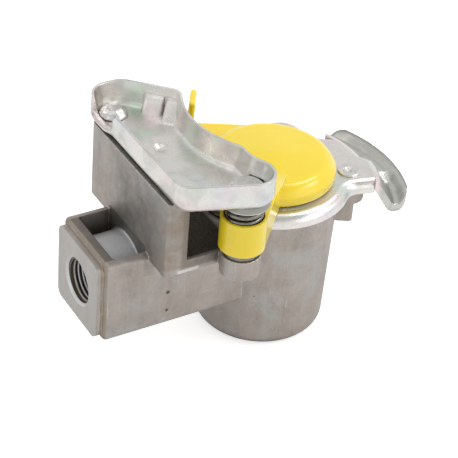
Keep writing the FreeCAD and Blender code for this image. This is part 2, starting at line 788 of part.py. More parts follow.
def wing():
    """Trough-shaped wing swept about the cup axis, with a pressed step in its shoulder."""
    back = Part.Face(wing_section(wing_step_start, wing_shoulder_radius, wing_back_drop))
    back = back.revolve(V(0, 0, 0), UP, wing_back_angle + wing_spare_angle - wing_step_start)
    front = Part.Face(wing_section(wing_front_angle - wing_spare_angle, wing_step_radius, wing_front_drop))
    front = front.revolve(V(0, 0, 0), UP, wing_step_end - wing_front_angle + wing_spare_angle)
    step = Part.makeLoft([wing_section(wing_step_end, wing_step_radius, wing_front_drop),
                          wing_section(wing_step_start, wing_shoulder_radius, wing_back_drop)], True, True)
    rim = wing_rim_radius
    outer_back = polar(rim, wing_back_angle)
    outer_front = polar(rim, wing_front_angle)
    bottom = wing_bottom
    top = plate_top + guide_sheet
    trim = plan_prism([
        (neck_reach - wing_neck_lap, neck_front_y(neck_reach - wing_neck_lap), 0),
        (outer_front.x, outer_front.y, 0),
        (2 * rim, outer_front.y, 0),
        (2 * rim, outer_back.y, 0),
        (outer_back.x, outer_back.y, 0),
        (math.sqrt(neck_reach ** 2 - neck_back ** 2), neck_back, 0),
        (neck_reach - wing_neck_lap, neck_back, 0),
    ], bottom, top)
    trim = trim.common(cylinder(rim, bottom, top)).cut(cylinder(neck_reach, bottom - 1, top + 1))
    rim_corners = upright_edges(trim, lambda p: abs(math.hypot(p.x, p.y) - rim) < 1e-3)
    trim = trim.makeFillet(wing_corner_rounding, rim_corners)
    return fuse_all([back, step, front]).common(trim).cut(neck_front_roll())


def guide_outline():
    """Plan corners of the guide plate's neck and ear, which grow out of the ring."""
    ear = polar(1.0, ear_angle)
    across = polar(1.0, ear_angle + 90)
    notch = V(neck_waist, neck_back, 0)
    to_ear = ear_rivet_place - notch
    tangent_angle = math.atan2(to_ear.y, to_ear.x) - math.asin(ear_radius / to_ear.Length)
    tangent = V(math.cos(tangent_angle), math.sin(tangent_angle), 0)
    ear_near = notch + tangent * ((ear_distance + ear_radius - notch.dot(ear)) / tangent.dot(ear))
    ear_far = ear * (ear_distance + ear_radius) + across * ear_radius
    return [
        (0, -neck_root, 0),
        (wing_rim_radius, neck_front_y(wing_rim_radius), 0),
        (wing_rim_radius, neck_back, 0),
        (notch.x, notch.y, guide_junction_radius),
        (ear_near.x, ear_near.y, ear_radius),
        (ear_far.x, ear_far.y, ear_radius),
        (across.x * ear_radius, across.y * ear_radius, 0),
    ]


def guide_block(inset, bottom, top):
    """Ring with neck and ear as one prism, drawn in by an inset, with its junctions rounded."""
    radius = ring_radius - inset
    block = fuse_all([
        cylinder(radius, bottom, top),
        plan_prism(inset_corners(guide_outline(), inset), bottom, top),
    ])
    junctions = upright_edges(block, lambda p: abs(math.hypot(p.x, p.y) - radius) < 1e-3)
    return block.makeFillet(guide_junction_radius + inset, junctions)


def guide_plate():
    """Lower pressing: ring with a rolled skirt, an ear, a neck and the trough-shaped wing."""
    pan = pressed_pan(guide_block(0, skirt_bottom, plate_top),
                      guide_block(guide_sheet, skirt_bottom - guide_sheet, seat_height),
                      plate_top, seat_height, guide_bend_radius)
    far = 2 * wing_rim_radius
    outside = box((0, far), (-far, neck_back + 2 * guide_bend_radius), (skirt_bottom - 1, plate_top + 1))
    outside = outside.cut(cylinder(neck_reach, skirt_bottom - 2, plate_top + 2)).cut(neck_front_roll())
    plate = fuse_all([pan.cut(outside), wing()])
    holes = [cylinder(ring_hole_radius, skirt_bottom - 1, plate_top + 1)]
    hole_radius = guide_rivet_shank_radius + seated_clearance
    for place in (wing_rivet_place, ear_rivet_place):
        holes.append(cylinder(hole_radius, skirt_bottom - 1, plate_top + 1, place))
    return cut_all(plate, holes)


def guide_rivet(place):
    """Tubular rivet through the guide plate and one lug."""
    return hollow_rivet(place, plate_top, seat_height - lug_height,
                        (guide_rivet_head_radius, guide_rivet_head_height),
                        (guide_rivet_tail_radius, guide_rivet_tail_height),
                        guide_rivet_shank_radius, guide_rivet_bore_radius)


def pivot_pin():
    """Headed pin from the claw plate's lobe down through cover, washer and boss, peened below."""
    top = claw_floor_top + pin_head_height
    shank = cylinder(pin_radius, deck_bottom, claw_floor_top)
    head = cylinder(pin_head_radius, claw_floor_top, top)
    head = head.makeFillet(pin_head_height * edge_share, level_edges(head, top))
    tail = cylinder(pin_tail_radius, deck_bottom, deck_bottom + pin_tail_height)
    return moved(fuse_all([shank, head, tail]), pin_place)


def thrust_washer():
    """Washer between the pivot boss and the cover's hub."""
    ring = cylinder(washer_radius, seat_height, washer_top)
    hole = cylinder(pin_radius + seated_clearance, seat_height - 1, washer_top + 1)
    return moved(ring.cut(hole), pin_place)


def cover_spring_radius():
    """Mean coil radius of the cover spring inside the hub's counterbore."""
    return hub_radius - hub_wall - cover_spring_side_gap - cover_spring_wire / 2


def cover_spring():
    """Compression spring that presses the cover down from the claw plate's lobe."""
    bottom = hub_bottom + hub_floor_thickness + spring_end_gap
    top = claw_underside - claw_seat_drop - spring_end_gap
    return coil_spring(cover_spring_radius(), cover_spring_wire, bottom, top, cover_spring_turns, pin_place)


def cover_lid():
    """Crowned lid."""
    return turned([
        (0, lid_bottom, 0),
        (lid_radius, lid_bottom, lid_edge_rounding),
        (lid_radius, lid_bottom + lid_skirt_height, lid_skirt_rounding),
        (lid_shoulder_radius, lid_bottom + lid_shoulder_height, lid_shoulder_rounding),
        (0, lid_bottom + lid_crown_height, 0),
    ])


def cover_lid_hollow():
    """Space under the lid, one wall inside its outer form."""
    return turned([
        (0, lid_bottom - lid_wall, 0),
        (lid_radius - lid_wall, lid_bottom - lid_wall, 0),
        (lid_radius - lid_wall, lid_bottom + lid_skirt_height - lid_wall / 3, lid_edge_rounding),
        (lid_shoulder_radius - lid_wall, lid_bottom + lid_shoulder_height - lid_wall,
         lid_shoulder_rounding - lid_wall / 2),
        (0, lid_bottom + lid_crown_height - lid_wall, 0),
    ])


def cover_web():
    """Sloping arm between the tall hub and the low lid."""
    reach = math.hypot(pin_x, pin_y)
    top = hub_bottom + hub_height
    inner_end = reach - web_inner_end
    profile = Part.makePolygon([
        V(0, 0, lid_bottom),
        V(inner_end, 0, lid_bottom),
        V(inner_end, 0, lid_bottom + lid_shoulder_height),
        V(reach - lid_radius + web_foot, 0, lid_bottom + lid_crown_height - web_foot_drop),
        V(hub_radius + web_shoulder, 0, top),
        V(0, 0, top),
        V(0, 0, lid_bottom),
    ])
    half_width = hub_radius - web_side_margin
    web = Part.Face(profile).extrude(V(0, 2 * half_width, 0))
    web.translate(V(0, -half_width, 0))
    web.rotate(V(0, 0, 0), UP, math.degrees(math.atan2(-pin_y, -pin_x)))
    return moved(web, pin_place)


def cover_tail():
    """Flat tail that grows out of the lid's back and carries the finger tab."""
    along = polar(1.0, tab_angle)
    across = polar(1.0, tab_angle - 90)
    tab_place = V(tab_x, tab_y, 0)
    far = tab_place + along * (tab_length / 2 + tail_margin)
    near = tab_place - along * (tab_length / 2)
    outer_far = far - across * tail_half_width
    outer_near = near - across * tail_half_width
    inner_far = far + across * tail_half_width
    root = polar(lid_radius - lid_wall, tail_root_angle)
    flank = polar(lid_radius - lid_wall, tail_flank_angle)
    return plan_prism([
        (root.x, root.y, 0),
        (tail_knee_x, tail_knee_y, tail_knee_radius),
        (inner_far.x, inner_far.y, 0),
        (outer_far.x, outer_far.y, tail_corner_radius),
        (outer_near.x, outer_near.y, tail_corner_radius * 2),
        (flank.x, flank.y, 0),
        (0, 0, 0),
    ], lid_bottom, lid_bottom + tail_thickness)


def cover_tab():
    """Upright finger tab on the tail, with rounded edges and a slight lean."""
    rise = tab_height - tail_thickness / 2
    tab = Part.makeBox(tab_length, tab_thickness, rise)
    tab.translate(V(-tab_length / 2, -tab_thickness / 2, 0))
    tab = tab.makeFillet(tab_thickness * edge_share, upright_edges(tab, lambda p: True))
    tab = tab.makeFillet(tab_thickness * tab_top_share, level_edges(tab, rise))
    tab.rotate(V(0, 0, 0), V(1, 0, 0), tab_lean)
    tab.rotate(V(0, 0, 0), UP, tab_angle)
    return moved(tab, V(tab_x, tab_y, lid_bottom + tail_thickness / 2))


def dust_cover():
    """Moulded cover: crowned lid, pivot hub with a spring well, joining web, tail and finger tab."""
    hub_top = hub_bottom + hub_height
    hub = cylinder(hub_radius, hub_bottom, hub_top, pin_place)
    hub = hub.makeFillet(lid_edge_rounding, level_edges(hub, hub_bottom))
    cover = fuse_all([cover_lid(), hub, cover_web(), cover_tail(), cover_tab()])
    well_floor = hub_bottom + hub_floor_thickness
    return cut_all(cover, [
        cover_lid_hollow(),
        cylinder(pin_radius + running_clearance, hub_bottom - 1, well_floor + 1, pin_place),
        cylinder(hub_radius - hub_wall, well_floor, hub_top + 1, pin_place),
    ])


def valve_sleeve():
    """Guide sleeve pressed in the cup, with the stem's seal groove inside and its own seal groove outside."""
    outer = sleeve_bore_radius - sleeve_wall_clearance
    body = turned([
        (sleeve_bore, sleeve_shoulder_height, 0),
        (outer, sleeve_shoulder_height, 0),
        (outer, sleeve_top, 0),
        (sleeve_bore, sleeve_top, 0),
    ])
    outer_low = outer_seal_height - o_ring_groove / 2
    outer_groove = cylinder(outer + 1, outer_low, outer_low + o_ring_groove).cut(
        cylinder(outer - o_ring_wire * 2 + o_ring_squeeze, outer_low, outer_low + o_ring_groove))
    inner_low = inner_seal_height - o_ring_groove / 2
    inner_groove = cylinder(sleeve_bore + o_ring_wire * 2 - o_ring_squeeze,
                            inner_low, inner_low + o_ring_groove)
    recess_floor = valve_head_bottom() - valve_travel - valve_clearance
    recess = cylinder(face_seal_radius + valve_clearance, recess_floor, sleeve_top + 1)
    return cut_all(body, [outer_groove, inner_groove, recess])


def o_ring(middle_radius, height):
    """Rubber ring of round section."""
    return Part.makeTorus(middle_radius, o_ring_wire - o_ring_squeeze / 2, V(0, 0, height), UP)


def sleeve_o_ring():
    """Seal between the sleeve and the cup."""
    outer = sleeve_bore_radius - sleeve_wall_clearance
    return o_ring(outer - o_ring_wire + o_ring_squeeze / 2, outer_seal_height)


def stem_o_ring():
    """Seal between the sleeve and the sliding valve stem."""
    return o_ring(sleeve_bore + o_ring_wire - o_ring_squeeze / 2, inner_seal_height)


def retaining_ring():
    """Split spring ring in the cup's groove above the sleeve."""
    outer = sleeve_bore_radius + retainer_depth - retainer_play
    bottom = sleeve_top + sleeve_wall_clearance * 2
    ring = cylinder(outer, bottom, bottom + retainer_thickness - sleeve_wall_clearance)
    ring = ring.cut(cylinder(outer - retainer_width, bottom - 1, bottom + 2 * retainer_thickness))
    gap_height = 2 + 2 * retainer_thickness
    gap = Part.makeCylinder(2 * outer, gap_height, V(0, 0, bottom - 1), UP, retainer_gap_angle)
    gap.rotate(V(0, 0, 0), UP, 90 - retainer_gap_angle / 2)
    return ring.cut(gap)


def valve_head_bottom():
    """Height of the underside of the valve's head at rest."""
    return plate_top + face_seal_proud - face_seal_height - valve_head_thickness


def valve_plunger():
    """Hollow valve stem with a head for the face seal, side windows and a lower flange."""
    stem_radius = sleeve_bore - stem_clearance
    head_bottom = valve_head_bottom()
    solid = fuse_all([
        cylinder(stem_radius, valve_flange_bottom, head_bottom + valve_head_thickness),
        cylinder(valve_flange_radius, valve_flange_bottom, valve_flange_top),
        cylinder(valve_head_radius, head_bottom, head_bottom + valve_head_thickness),
    ])
    bore = cylinder(stem_radius - stem_wall, valve_flange_top, head_bottom + valve_head_thickness + 1)
    window_bottom = sleeve_shoulder_height + stem_window_rise
    windows = []
    for angle in (0, 90):
        window = box((-stem_radius - 1, stem_radius + 1), (-stem_window_width / 2, stem_window_width / 2),
                     (window_bottom, window_bottom + stem_window_height))
        window.rotate(V(0, 0, 0), UP, angle)
        windows.append(window)
    return cut_all(solid, [bore] + windows)


def valve_seal():
    """Rubber washer on the valve's flange that closes against the sleeve."""
    top = valve_flange_top + valve_seal_thickness
    ring = cylinder(valve_flange_radius, valve_flange_top, top)
    return ring.cut(cylinder(sleeve_bore - stem_clearance + seated_clearance, valve_flange_bottom, top + 1))


def face_seal():
    """Rubber coupling seal with a raised lip, seated on the valve's head."""
    bottom = valve_head_bottom() + valve_head_thickness
    top = plate_top + face_seal_proud
    return turned([
        (face_seal_bore, bottom, 0),
        (face_seal_radius, bottom, face_seal_foot_rounding),
        (face_seal_radius, top - face_seal_lip_height, face_seal_foot_rounding),
        (face_seal_radius - face_seal_lip_taper, top, face_seal_lip_rounding),
        (face_seal_bore + face_seal_mouth_taper, top, face_seal_lip_rounding),
        (face_seal_bore, top - face_seal_mouth_height, face_seal_mouth_rounding),
    ])


def valve_spring():
    """Compression spring that holds the valve up against the sleeve."""
    return coil_spring(valve_spring_radius, valve_spring_wire, cup_floor_thickness + spring_end_gap,
                       valve_flange_bottom - spring_end_gap, valve_spring_turns)


pieces = {
    "body_casting": body_casting(),
    "guide_plate": guide_plate(),
    "claw_plate": claw_plate(),
    "claw_rivet": claw_rivet(),
    "guide_rivet_wing": guide_rivet(wing_rivet_place),
    "guide_rivet_ear": guide_rivet(ear_rivet_place),
    "pivot_pin": pivot_pin(),
    "thrust_washer": thrust_washer(),
    "cover_spring": cover_spring(),
    "dust_cover": dust_cover(),
    "valve_sleeve": valve_sleeve(),
    "sleeve_o_ring": sleeve_o_ring(),
    "stem_o_ring": stem_o_ring(),
    "retaining_ring": retaining_ring(),
    "valve_plunger": valve_plunger(),
    "valve_seal": valve_seal(),
    "face_seal": face_seal(),
    "valve_spring": valve_spring(),
}

os.makedirs("parts", exist_ok=True)
for name, shape in pieces.items():
    print(name, "solids", len(shape.Solids), "valid", shape.isValid(), "volume", round(shape.Volume, 1))
    shape.exportStep(f"parts/{name}.step")
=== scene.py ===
import logging
import math
from dataclasses import dataclass
from enum import Enum
from functools import partial, reduce

import bmesh
import bpy
from mathutils import Matrix, Vector, noise


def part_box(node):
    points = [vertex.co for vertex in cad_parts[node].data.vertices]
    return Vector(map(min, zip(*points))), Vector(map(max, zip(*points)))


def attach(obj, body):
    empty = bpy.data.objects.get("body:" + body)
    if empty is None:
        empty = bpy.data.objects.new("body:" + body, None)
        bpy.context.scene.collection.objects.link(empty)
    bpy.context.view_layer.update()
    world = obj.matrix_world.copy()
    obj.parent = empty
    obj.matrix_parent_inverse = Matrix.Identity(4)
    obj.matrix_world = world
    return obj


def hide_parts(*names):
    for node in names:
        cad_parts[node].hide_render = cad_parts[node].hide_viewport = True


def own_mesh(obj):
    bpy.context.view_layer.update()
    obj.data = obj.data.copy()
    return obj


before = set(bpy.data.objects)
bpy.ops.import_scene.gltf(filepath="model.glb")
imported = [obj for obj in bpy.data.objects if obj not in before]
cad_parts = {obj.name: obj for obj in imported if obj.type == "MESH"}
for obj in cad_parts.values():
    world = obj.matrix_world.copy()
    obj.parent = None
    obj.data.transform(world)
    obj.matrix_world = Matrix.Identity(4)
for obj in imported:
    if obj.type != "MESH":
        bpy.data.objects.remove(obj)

log = logging.getLogger("gladhand")

MM = 0.001
Colour = tuple[float, float, float]
Point = tuple[float, float, float]
Socket = bpy.types.NodeSocket
WHITE: Colour = (1.0, 1.0, 1.0)


class Finish(Enum):
    """The finishes on the object. Each value is the record's slot that the finish belongs to."""

    CASTING = "cast_aluminium"
    ZINC_PLATE = "zinc_plated_steel"
    RIVET = "rivet_steel"
    SPRING = "spring_steel"
    COVER = "yellow_plastic"
    BRASS = "machined_brass"
    RUBBER = "black_rubber"
    VALVE_PLASTIC = "natural_plastic"


@dataclass(frozen=True)
class Zone:
    """A box on the object that fades out over its edge, in millimetres."""

    centre: Point
    reach: Point
    fade: float


@dataclass(frozen=True)
class Axis:
    """An axis on the object: a point on it in millimetres, and 1 for each direction across it."""

    centre: Point
    across: Point


CUP = Axis((0.0, 0.0, 0.0), (1.0, 1.0, 0.0))
PORT = Axis((0.0, 0.0, 36.0), (0.0, 1.0, 1.0))


def open_sockets(tree: bpy.types.NodeTree, way: str, kinds: dict[str, str]) -> None:
    """Gives a tree its sockets.

    Args:
        tree: The tree.
        way: INPUT or OUTPUT.
        kinds: The sockets' names with spaces between them, by kind.
    """
    for kind, names in kinds.items():
        for name in names.split():
            tree.interface.new_socket(name, in_out=way, socket_type="NodeSocket" + kind)


class NodeWriter:
    """Adds nodes to one tree, sets their inputs and links them."""

    def __init__(self, tree: bpy.types.NodeTree) -> None:
        """Keeps the tree that is written in."""
        self.tree = tree

    def add(self, kind: str, inputs: dict[str | int, object] | None = None,
            **settings: object) -> bpy.types.Node:
        """Adds a node.

        Args:
            kind: The node's type name.
            inputs: Values or output sockets, by input name, identifier or number.
            settings: Properties of the node.

        Returns:
            The new node.
        """
        node = self.tree.nodes.new(kind)
        for name, value in settings.items():
            setattr(node, name, value)
        for key, value in (inputs or {}).items():
            self.feed(self.socket(node, key), value)
        return node

    def socket(self, node: bpy.types.Node, key: str | int) -> Socket:
        """Finds an input socket.

        Args:
            node: The node that has the input.
            key: Its number, identifier or name.

        Returns:
            The input socket.
        """
        for found in node.inputs:
            if found.identifier == key:
                return found
        return node.inputs[key]

    def feed(self, into: Socket, value: object) -> None:
        """Links an output to an input, or sets the input's own value.

        Args:
            into: The input socket.
            value: An output socket, a number, a point or a colour.
        """
        if isinstance(value, Socket):
            self.tree.links.new(value, into)
        elif into.type == "RGBA" and len(value) == 3:
            into.default_value = (*value, 1.0)
        else:
            into.default_value = value

    def math(self, operation: str, a: object, b: object = 0.0) -> Socket:
        """Adds a Math node and returns its result."""
        return self.add("ShaderNodeMath", {0: a, 1: b}, operation=operation).outputs[0]

    def times(self, *values: object) -> Socket:
        """Multiplies values, from the first to the last."""
        return reduce(partial(self.math, "MULTIPLY"), values)

    def total(self, *values: object) -> Socket:
        """Adds values up, from the first to the last."""
        return reduce(partial(self.math, "ADD"), values)

    def minus(self, *values: object) -> Socket:
        """Takes the other values from the first one."""
        return reduce(partial(self.math, "SUBTRACT"), values)

    def most(self, *values: object) -> Socket:
        """Gives the greatest value."""
        return reduce(partial(self.math, "MAXIMUM"), values)

    def vector(self, operation: str, a: object, b: object = (0.0, 0.0, 0.0)) -> Socket:
        """Adds a Vector Math node and returns its result, which is a number for a length or a dot product."""
        node = self.add("ShaderNodeVectorMath", {0: a, 1: b}, operation=operation)
        return node.outputs["Value" if operation in ("LENGTH", "DOT_PRODUCT") else "Vector"]

    def texture(self, where: object, scale: object, detail: float, **inputs: object) -> Socket:
        """Adds a Noise Texture node and returns its value."""
        inputs = {"Vector": where, "Scale": scale, "Detail": detail, **inputs}
        return self.add("ShaderNodeTexNoise", inputs).outputs["Fac"]

    def ramp(self, value: object, low: object, high: object, start: float = 0.0, end: float = 1.0) -> Socket:
        """Maps a value from one range to another and keeps it there.

        Args:
            value: The value's socket.
            low: Where the range begins.
            high: Where it ends.
            start: The result at low.
            end: The result at high.

        Returns:
            The result's socket.
        """
        inputs = {"Value": value, "From Min": low, "From Max": high, "To Min": start, "To Max": end}
        return self.add("ShaderNodeMapRange", inputs).outputs["Result"]

    def between(self, mask: object, start: float, end: float) -> Socket:
        """Turns a mask's 0 to 1 into another range."""
        return self.ramp(mask, 0.0, 1.0, start, end)

    def blend(self, factor: object, under: object, over: object) -> Socket:
        """Mixes two colours.

        Args:
            factor: How much of the second one shows.
            under: The first colour.
            over: The second colour.

        Returns:
            The mixed colour's socket.
        """
        inputs = {"Factor_Float": factor, "A_Color": under, "B_Color": over}
        node = self.add("ShaderNodeMix", inputs, data_type="RGBA")
        return next(out for out in node.outputs if out.identifier == "Result_Color")

    def coats(self, colour: object, *coats: tuple) -> Socket:
        """Lays colours over one another.

        Args:
            colour: The lowest colour.
            coats: Each coat's colour, then the masks and shares whose product says how much of it shows.

        Returns:
            The resulting colour's socket.
        """
        for over, *shares in coats:
            colour = self.blend(self.times(*shares), colour, over)
        return colour


class Effects:
    """Shader node groups that the finishes share. Each is built once and placed with its own values."""

    def __init__(self) -> None:
        """Starts with no group built."""
        self.groups: dict[str, bpy.types.NodeTree] = {}

    def place(self, writer: NodeWriter, name: str, inputs: dict[str, object]) -> bpy.types.Node:
        """Places a group in a material, and builds the group when it is first needed.

        Args:
            writer: The material's writer.
            name: The group's name, which is also the name of its build method.
            inputs: Values or sockets by the group's input names.

        Returns:
            The group's node.
        """
        if name not in self.groups:
            getattr(self, "build_" + name)()
        return writer.add("ShaderNodeGroup", inputs, node_tree=self.groups[name])

    def start(self, name: str, inputs: dict[str, str],
              outputs: dict[str, str]) -> tuple[NodeWriter, bpy.types.NodeOutputs, bpy.types.NodeInputs]:
        """Makes an empty group with its sockets.

        Args:
            name: The group's name.
            inputs: The inputs' names with spaces between them, by socket kind.
            outputs: The outputs' names in the same way.

        Returns:
            The writer, the group's inputs as sockets to link from, and its outputs as sockets to feed.
        """
        tree = self.groups[name] = bpy.data.node_groups.new(name, "ShaderNodeTree")
        open_sockets(tree, "INPUT", inputs)
        open_sockets(tree, "OUTPUT", outputs)
        writer = NodeWriter(tree)
        return writer, writer.add("NodeGroupInput").outputs, writer.add("NodeGroupOutput").inputs

    def build_mottle(self) -> None:
        """Builds soft clouds at one scale, with their contrast set by Spread."""
        inputs = {"Vector": "Vector", "Float": "Scale Distortion Spread"}
        w, into, out = self.start("mottle", inputs, {"Float": "Value"})
        clouds = w.texture(into["Vector"], into["Scale"], 5.0, Roughness=0.62, Distortion=into["Distortion"])
        low, high = w.minus(0.5, into["Spread"]), w.total(0.5, into["Spread"])
        w.feed(out["Value"], w.ramp(clouds, low, high))

    def build_edge(self) -> None:
        """Builds a rounded normal for the edges, and a mask of where the edges are."""
        w, into, out = self.start("edge", {"Float": "Radius"}, {"Float": "Mask", "Vector": "Normal"})
        rounded = w.add("ShaderNodeBevel", {"Radius": into["Radius"]}, samples=6).outputs["Normal"]
        agree = w.vector("DOT_PRODUCT", rounded, w.add("ShaderNodeNewGeometry").outputs["Normal"])
        w.feed(out["Mask"], w.ramp(agree, 0.998, 0.90))
        w.feed(out["Normal"], rounded)

    def build_cast_skin(self) -> None:
        """Builds the sand-like grain of a casting, with pits in a share of its cells."""
        inputs = {"Vector": "Vector", "Float": "Grain Pits Share"}
        w, into, out = self.start("cast_skin", inputs, {"Float": "Height Pits"})
        grain = w.texture(into["Vector"], into["Grain"], 4.0, Roughness=0.6)
        cells = w.add("ShaderNodeTexVoronoi", {"Vector": into["Vector"], "Scale": into["Pits"]})
        picked = w.add("ShaderNodeSeparateColor", {"Color": cells.outputs["Color"]}).outputs["Red"]
        size = w.ramp(picked, w.minus(1.0, into["Share"]), 1.0, 0.0, 0.24)
        pits = w.ramp(w.minus(size, cells.outputs["Distance"]), 0.0, 0.08)
        w.feed(out["Height"], w.minus(grain, w.times(pits, 2.0)))
        w.feed(out["Pits"], pits)

    def build_recess(self) -> None:
        """Builds a mask of the inner corners, where the finishes lay painted shade. Reach is how far their
        walls may be.
        """
        w, into, out = self.start("recess", {"Float": "Reach"}, {"Float": "Mask"})
        open_share = w.add("ShaderNodeAmbientOcclusion", {"Distance": into["Reach"]}, samples=8)
        w.feed(out["Mask"], w.ramp(open_share.outputs["AO"], 0.62, 0.18))

    def build_scratches(self) -> None:
        """Builds fine handling scratches that run mostly one way."""
        w, into, out = self.start("scratches", {"Vector": "Vector Stretch Turn", "Float": "Amount"},
                                  {"Float": "Mask"})
        turned = w.add("ShaderNodeMapping", {"Vector": into["Vector"], "Rotation": into["Turn"],
                                             "Scale": into["Stretch"]}).outputs["Vector"]
        peak = w.minus(0.74, w.times(into["Amount"], 0.12))
        lines = w.texture(turned, 1.0, 3.0, Roughness=0.5)
        w.feed(out["Mask"], w.ramp(lines, peak, w.total(peak, 0.05)))

    def build_zone(self) -> None:
        """Builds a mask that is 1 inside a box and fades out over its edge."""
        inputs = {"Vector": "Vector Centre Reach", "Float": "Fade"}
        w, into, out = self.start("zone", inputs, {"Float": "Mask"})
        away = w.vector("ABSOLUTE", w.vector("SUBTRACT", into["Vector"], into["Centre"]))
        over = w.add("ShaderNodeSeparateXYZ", {"Vector": w.vector("SUBTRACT", away, into["Reach"])})
        w.feed(out["Mask"], w.ramp(w.most(*over.outputs), into["Fade"], 0.0))

    def build_turning(self) -> None:
        """Builds the fine rings that a tool leaves round an axis. Flat leaves out the axis's direction."""
        w, into, out = self.start("turning", {"Vector": "Vector Centre Flat", "Float": "Rings"},
                                  {"Float": "Height Distance"})
        across = w.vector("MULTIPLY", w.vector("SUBTRACT", into["Vector"], into["Centre"]), into["Flat"])
        reach = w.vector("LENGTH", across)
        inputs = {"W": w.times(reach, into["Rings"]), "Scale": 1.0, "Detail": 2.0}
        rings = w.add("ShaderNodeTexNoise", inputs, noise_dimensions="1D")
        w.feed(out["Height"], rings.outputs["Fac"])
        w.feed(out["Distance"], reach)

    def build_plating(self) -> None:
        """Builds the faint green, pink and blue cast of a bright zinc coat."""
        inputs = {"Vector": "Vector", "Float": "Scale Strength", "Color": "Base"}
        w, into, out = self.start("plating", inputs, {"Color": "Color"})
        green, pink, blue = (0.52, 0.70, 0.55), (0.86, 0.66, 0.72), (0.66, 0.72, 0.78)
        colour = into["Base"]
        for shift, tint in ((0.0, green), (31.0, pink), (67.0, blue)):
            moved = w.vector("ADD", into["Vector"], (shift, shift, shift))
            clouds = w.texture(moved, into["Scale"], 3.0, Distortion=0.6)
            colour = w.coats(colour, (tint, w.ramp(clouds, 0.5, 0.72), into["Strength"]))
        w.feed(out["Color"], colour)


class MaterialWriter(NodeWriter):
    """Starts a material with its surface shader, output and Object coordinates."""

    def __init__(self, name: str, effects: Effects) -> None:
        """Makes the material.

        Args:
            name: The material's name.
            effects: The shared node groups.
        """
        self.material = bpy.data.materials.new(name)
        self.material.use_nodes = True
        super().__init__(self.material.node_tree)
        self.tree.nodes.clear()
        self.effects = effects
        self.shader = self.add("ShaderNodeBsdfPrincipled")
        self.add("ShaderNodeOutputMaterial", {"Surface": self.shader.outputs["BSDF"]})
        self.where = self.add("ShaderNodeTexCoord").outputs["Object"]

    def effect(self, name: str, **inputs: object) -> bpy.types.Node:
        """Places a shared effect that reads Object coordinates."""
        return self.effects.place(self, name, {"Vector": self.where, **inputs})

    def mottle(self, scale: float, spread: float, distortion: float = 0.4, **inputs: object) -> Socket:
        """Places soft clouds and returns their value."""
        inputs = {"Scale": scale, "Spread": spread, "Distortion": distortion, **inputs}
        return self.effect("mottle", **inputs).outputs["Value"]

    def zone(self, zone: Zone) -> Socket:
        """Places a zone and returns its mask."""
        centre, reach = Vector(zone.centre) * MM, Vector(zone.reach) * MM
        return self.effect("zone", Centre=centre, Reach=reach, Fade=zone.fade * MM).outputs["Mask"]

    def scratches(self, stretch: Point, turn: Point, amount: float) -> Socket:
        """Places scratches and returns their mask."""
        return self.effect("scratches", Stretch=stretch, Turn=turn, Amount=amount).outputs["Mask"]

    def edge(self, radius: float | Socket) -> bpy.types.Node:
        """Places the edges' mask and rounded normal. The radius is in metres."""
        return self.effects.place(self, "edge", {"Radius": radius})

    def recess(self, reach: float) -> Socket:
        """Places the inner corners and returns their mask. The reach is in millimetres."""
        return self.effects.place(self, "recess", {"Reach": reach * MM}).outputs["Mask"]

    def turned(self, axis: Axis, rings: float = 1.0) -> bpy.types.Node:
        """Places the turning round an axis."""
        return self.effect("turning", Centre=Vector(axis.centre) * MM, Flat=axis.across, Rings=rings)

    def radial(self, distance: Socket, none: float, full: float) -> Socket:
        """Masks by the distance from an axis: 0 at one radius and 1 at the other, in millimetres."""
        return self.ramp(distance, none * MM, full * MM)

    def surface(self, **inputs: object) -> None:
        """Sets or links the shader's inputs, named with underscores for spaces."""
        for key, value in inputs.items():
            self.feed(self.shader.inputs[key.replace("_", " ")], value)

    def bump(self, height: object, distance: float, strength: float, normal: Socket | None = None) -> Socket:
        """Adds a Bump node.

        Args:
            height: The height's socket.
            distance: How deep the relief is, in millimetres.
            strength: How much of it shows.
            normal: A normal that it starts from.

        Returns:
            The bumped normal's socket.
        """
        inputs = {"Height": height, "Distance": distance * MM, "Strength": strength}
        if normal is not None:
            inputs["Normal"] = normal
        return self.add("ShaderNodeBump", inputs).outputs["Normal"]


class Recipe:
    """A finish: its material's name, and what is laid on the surface."""

    name: str

    def material(self, effects: Effects) -> bpy.types.Material:
        """Makes the finish's material.

        Args:
            effects: The shared node groups.

        Returns:
            The material.
        """
        writer = MaterialWriter(self.name, effects)
        self.lay(writer)
        return writer.material

    def lay(self, m: MaterialWriter) -> None:
        """Lays colours, marks of use and relief on the surface.

        Args:
            m: The material's writer.
        """
        raise NotImplementedError


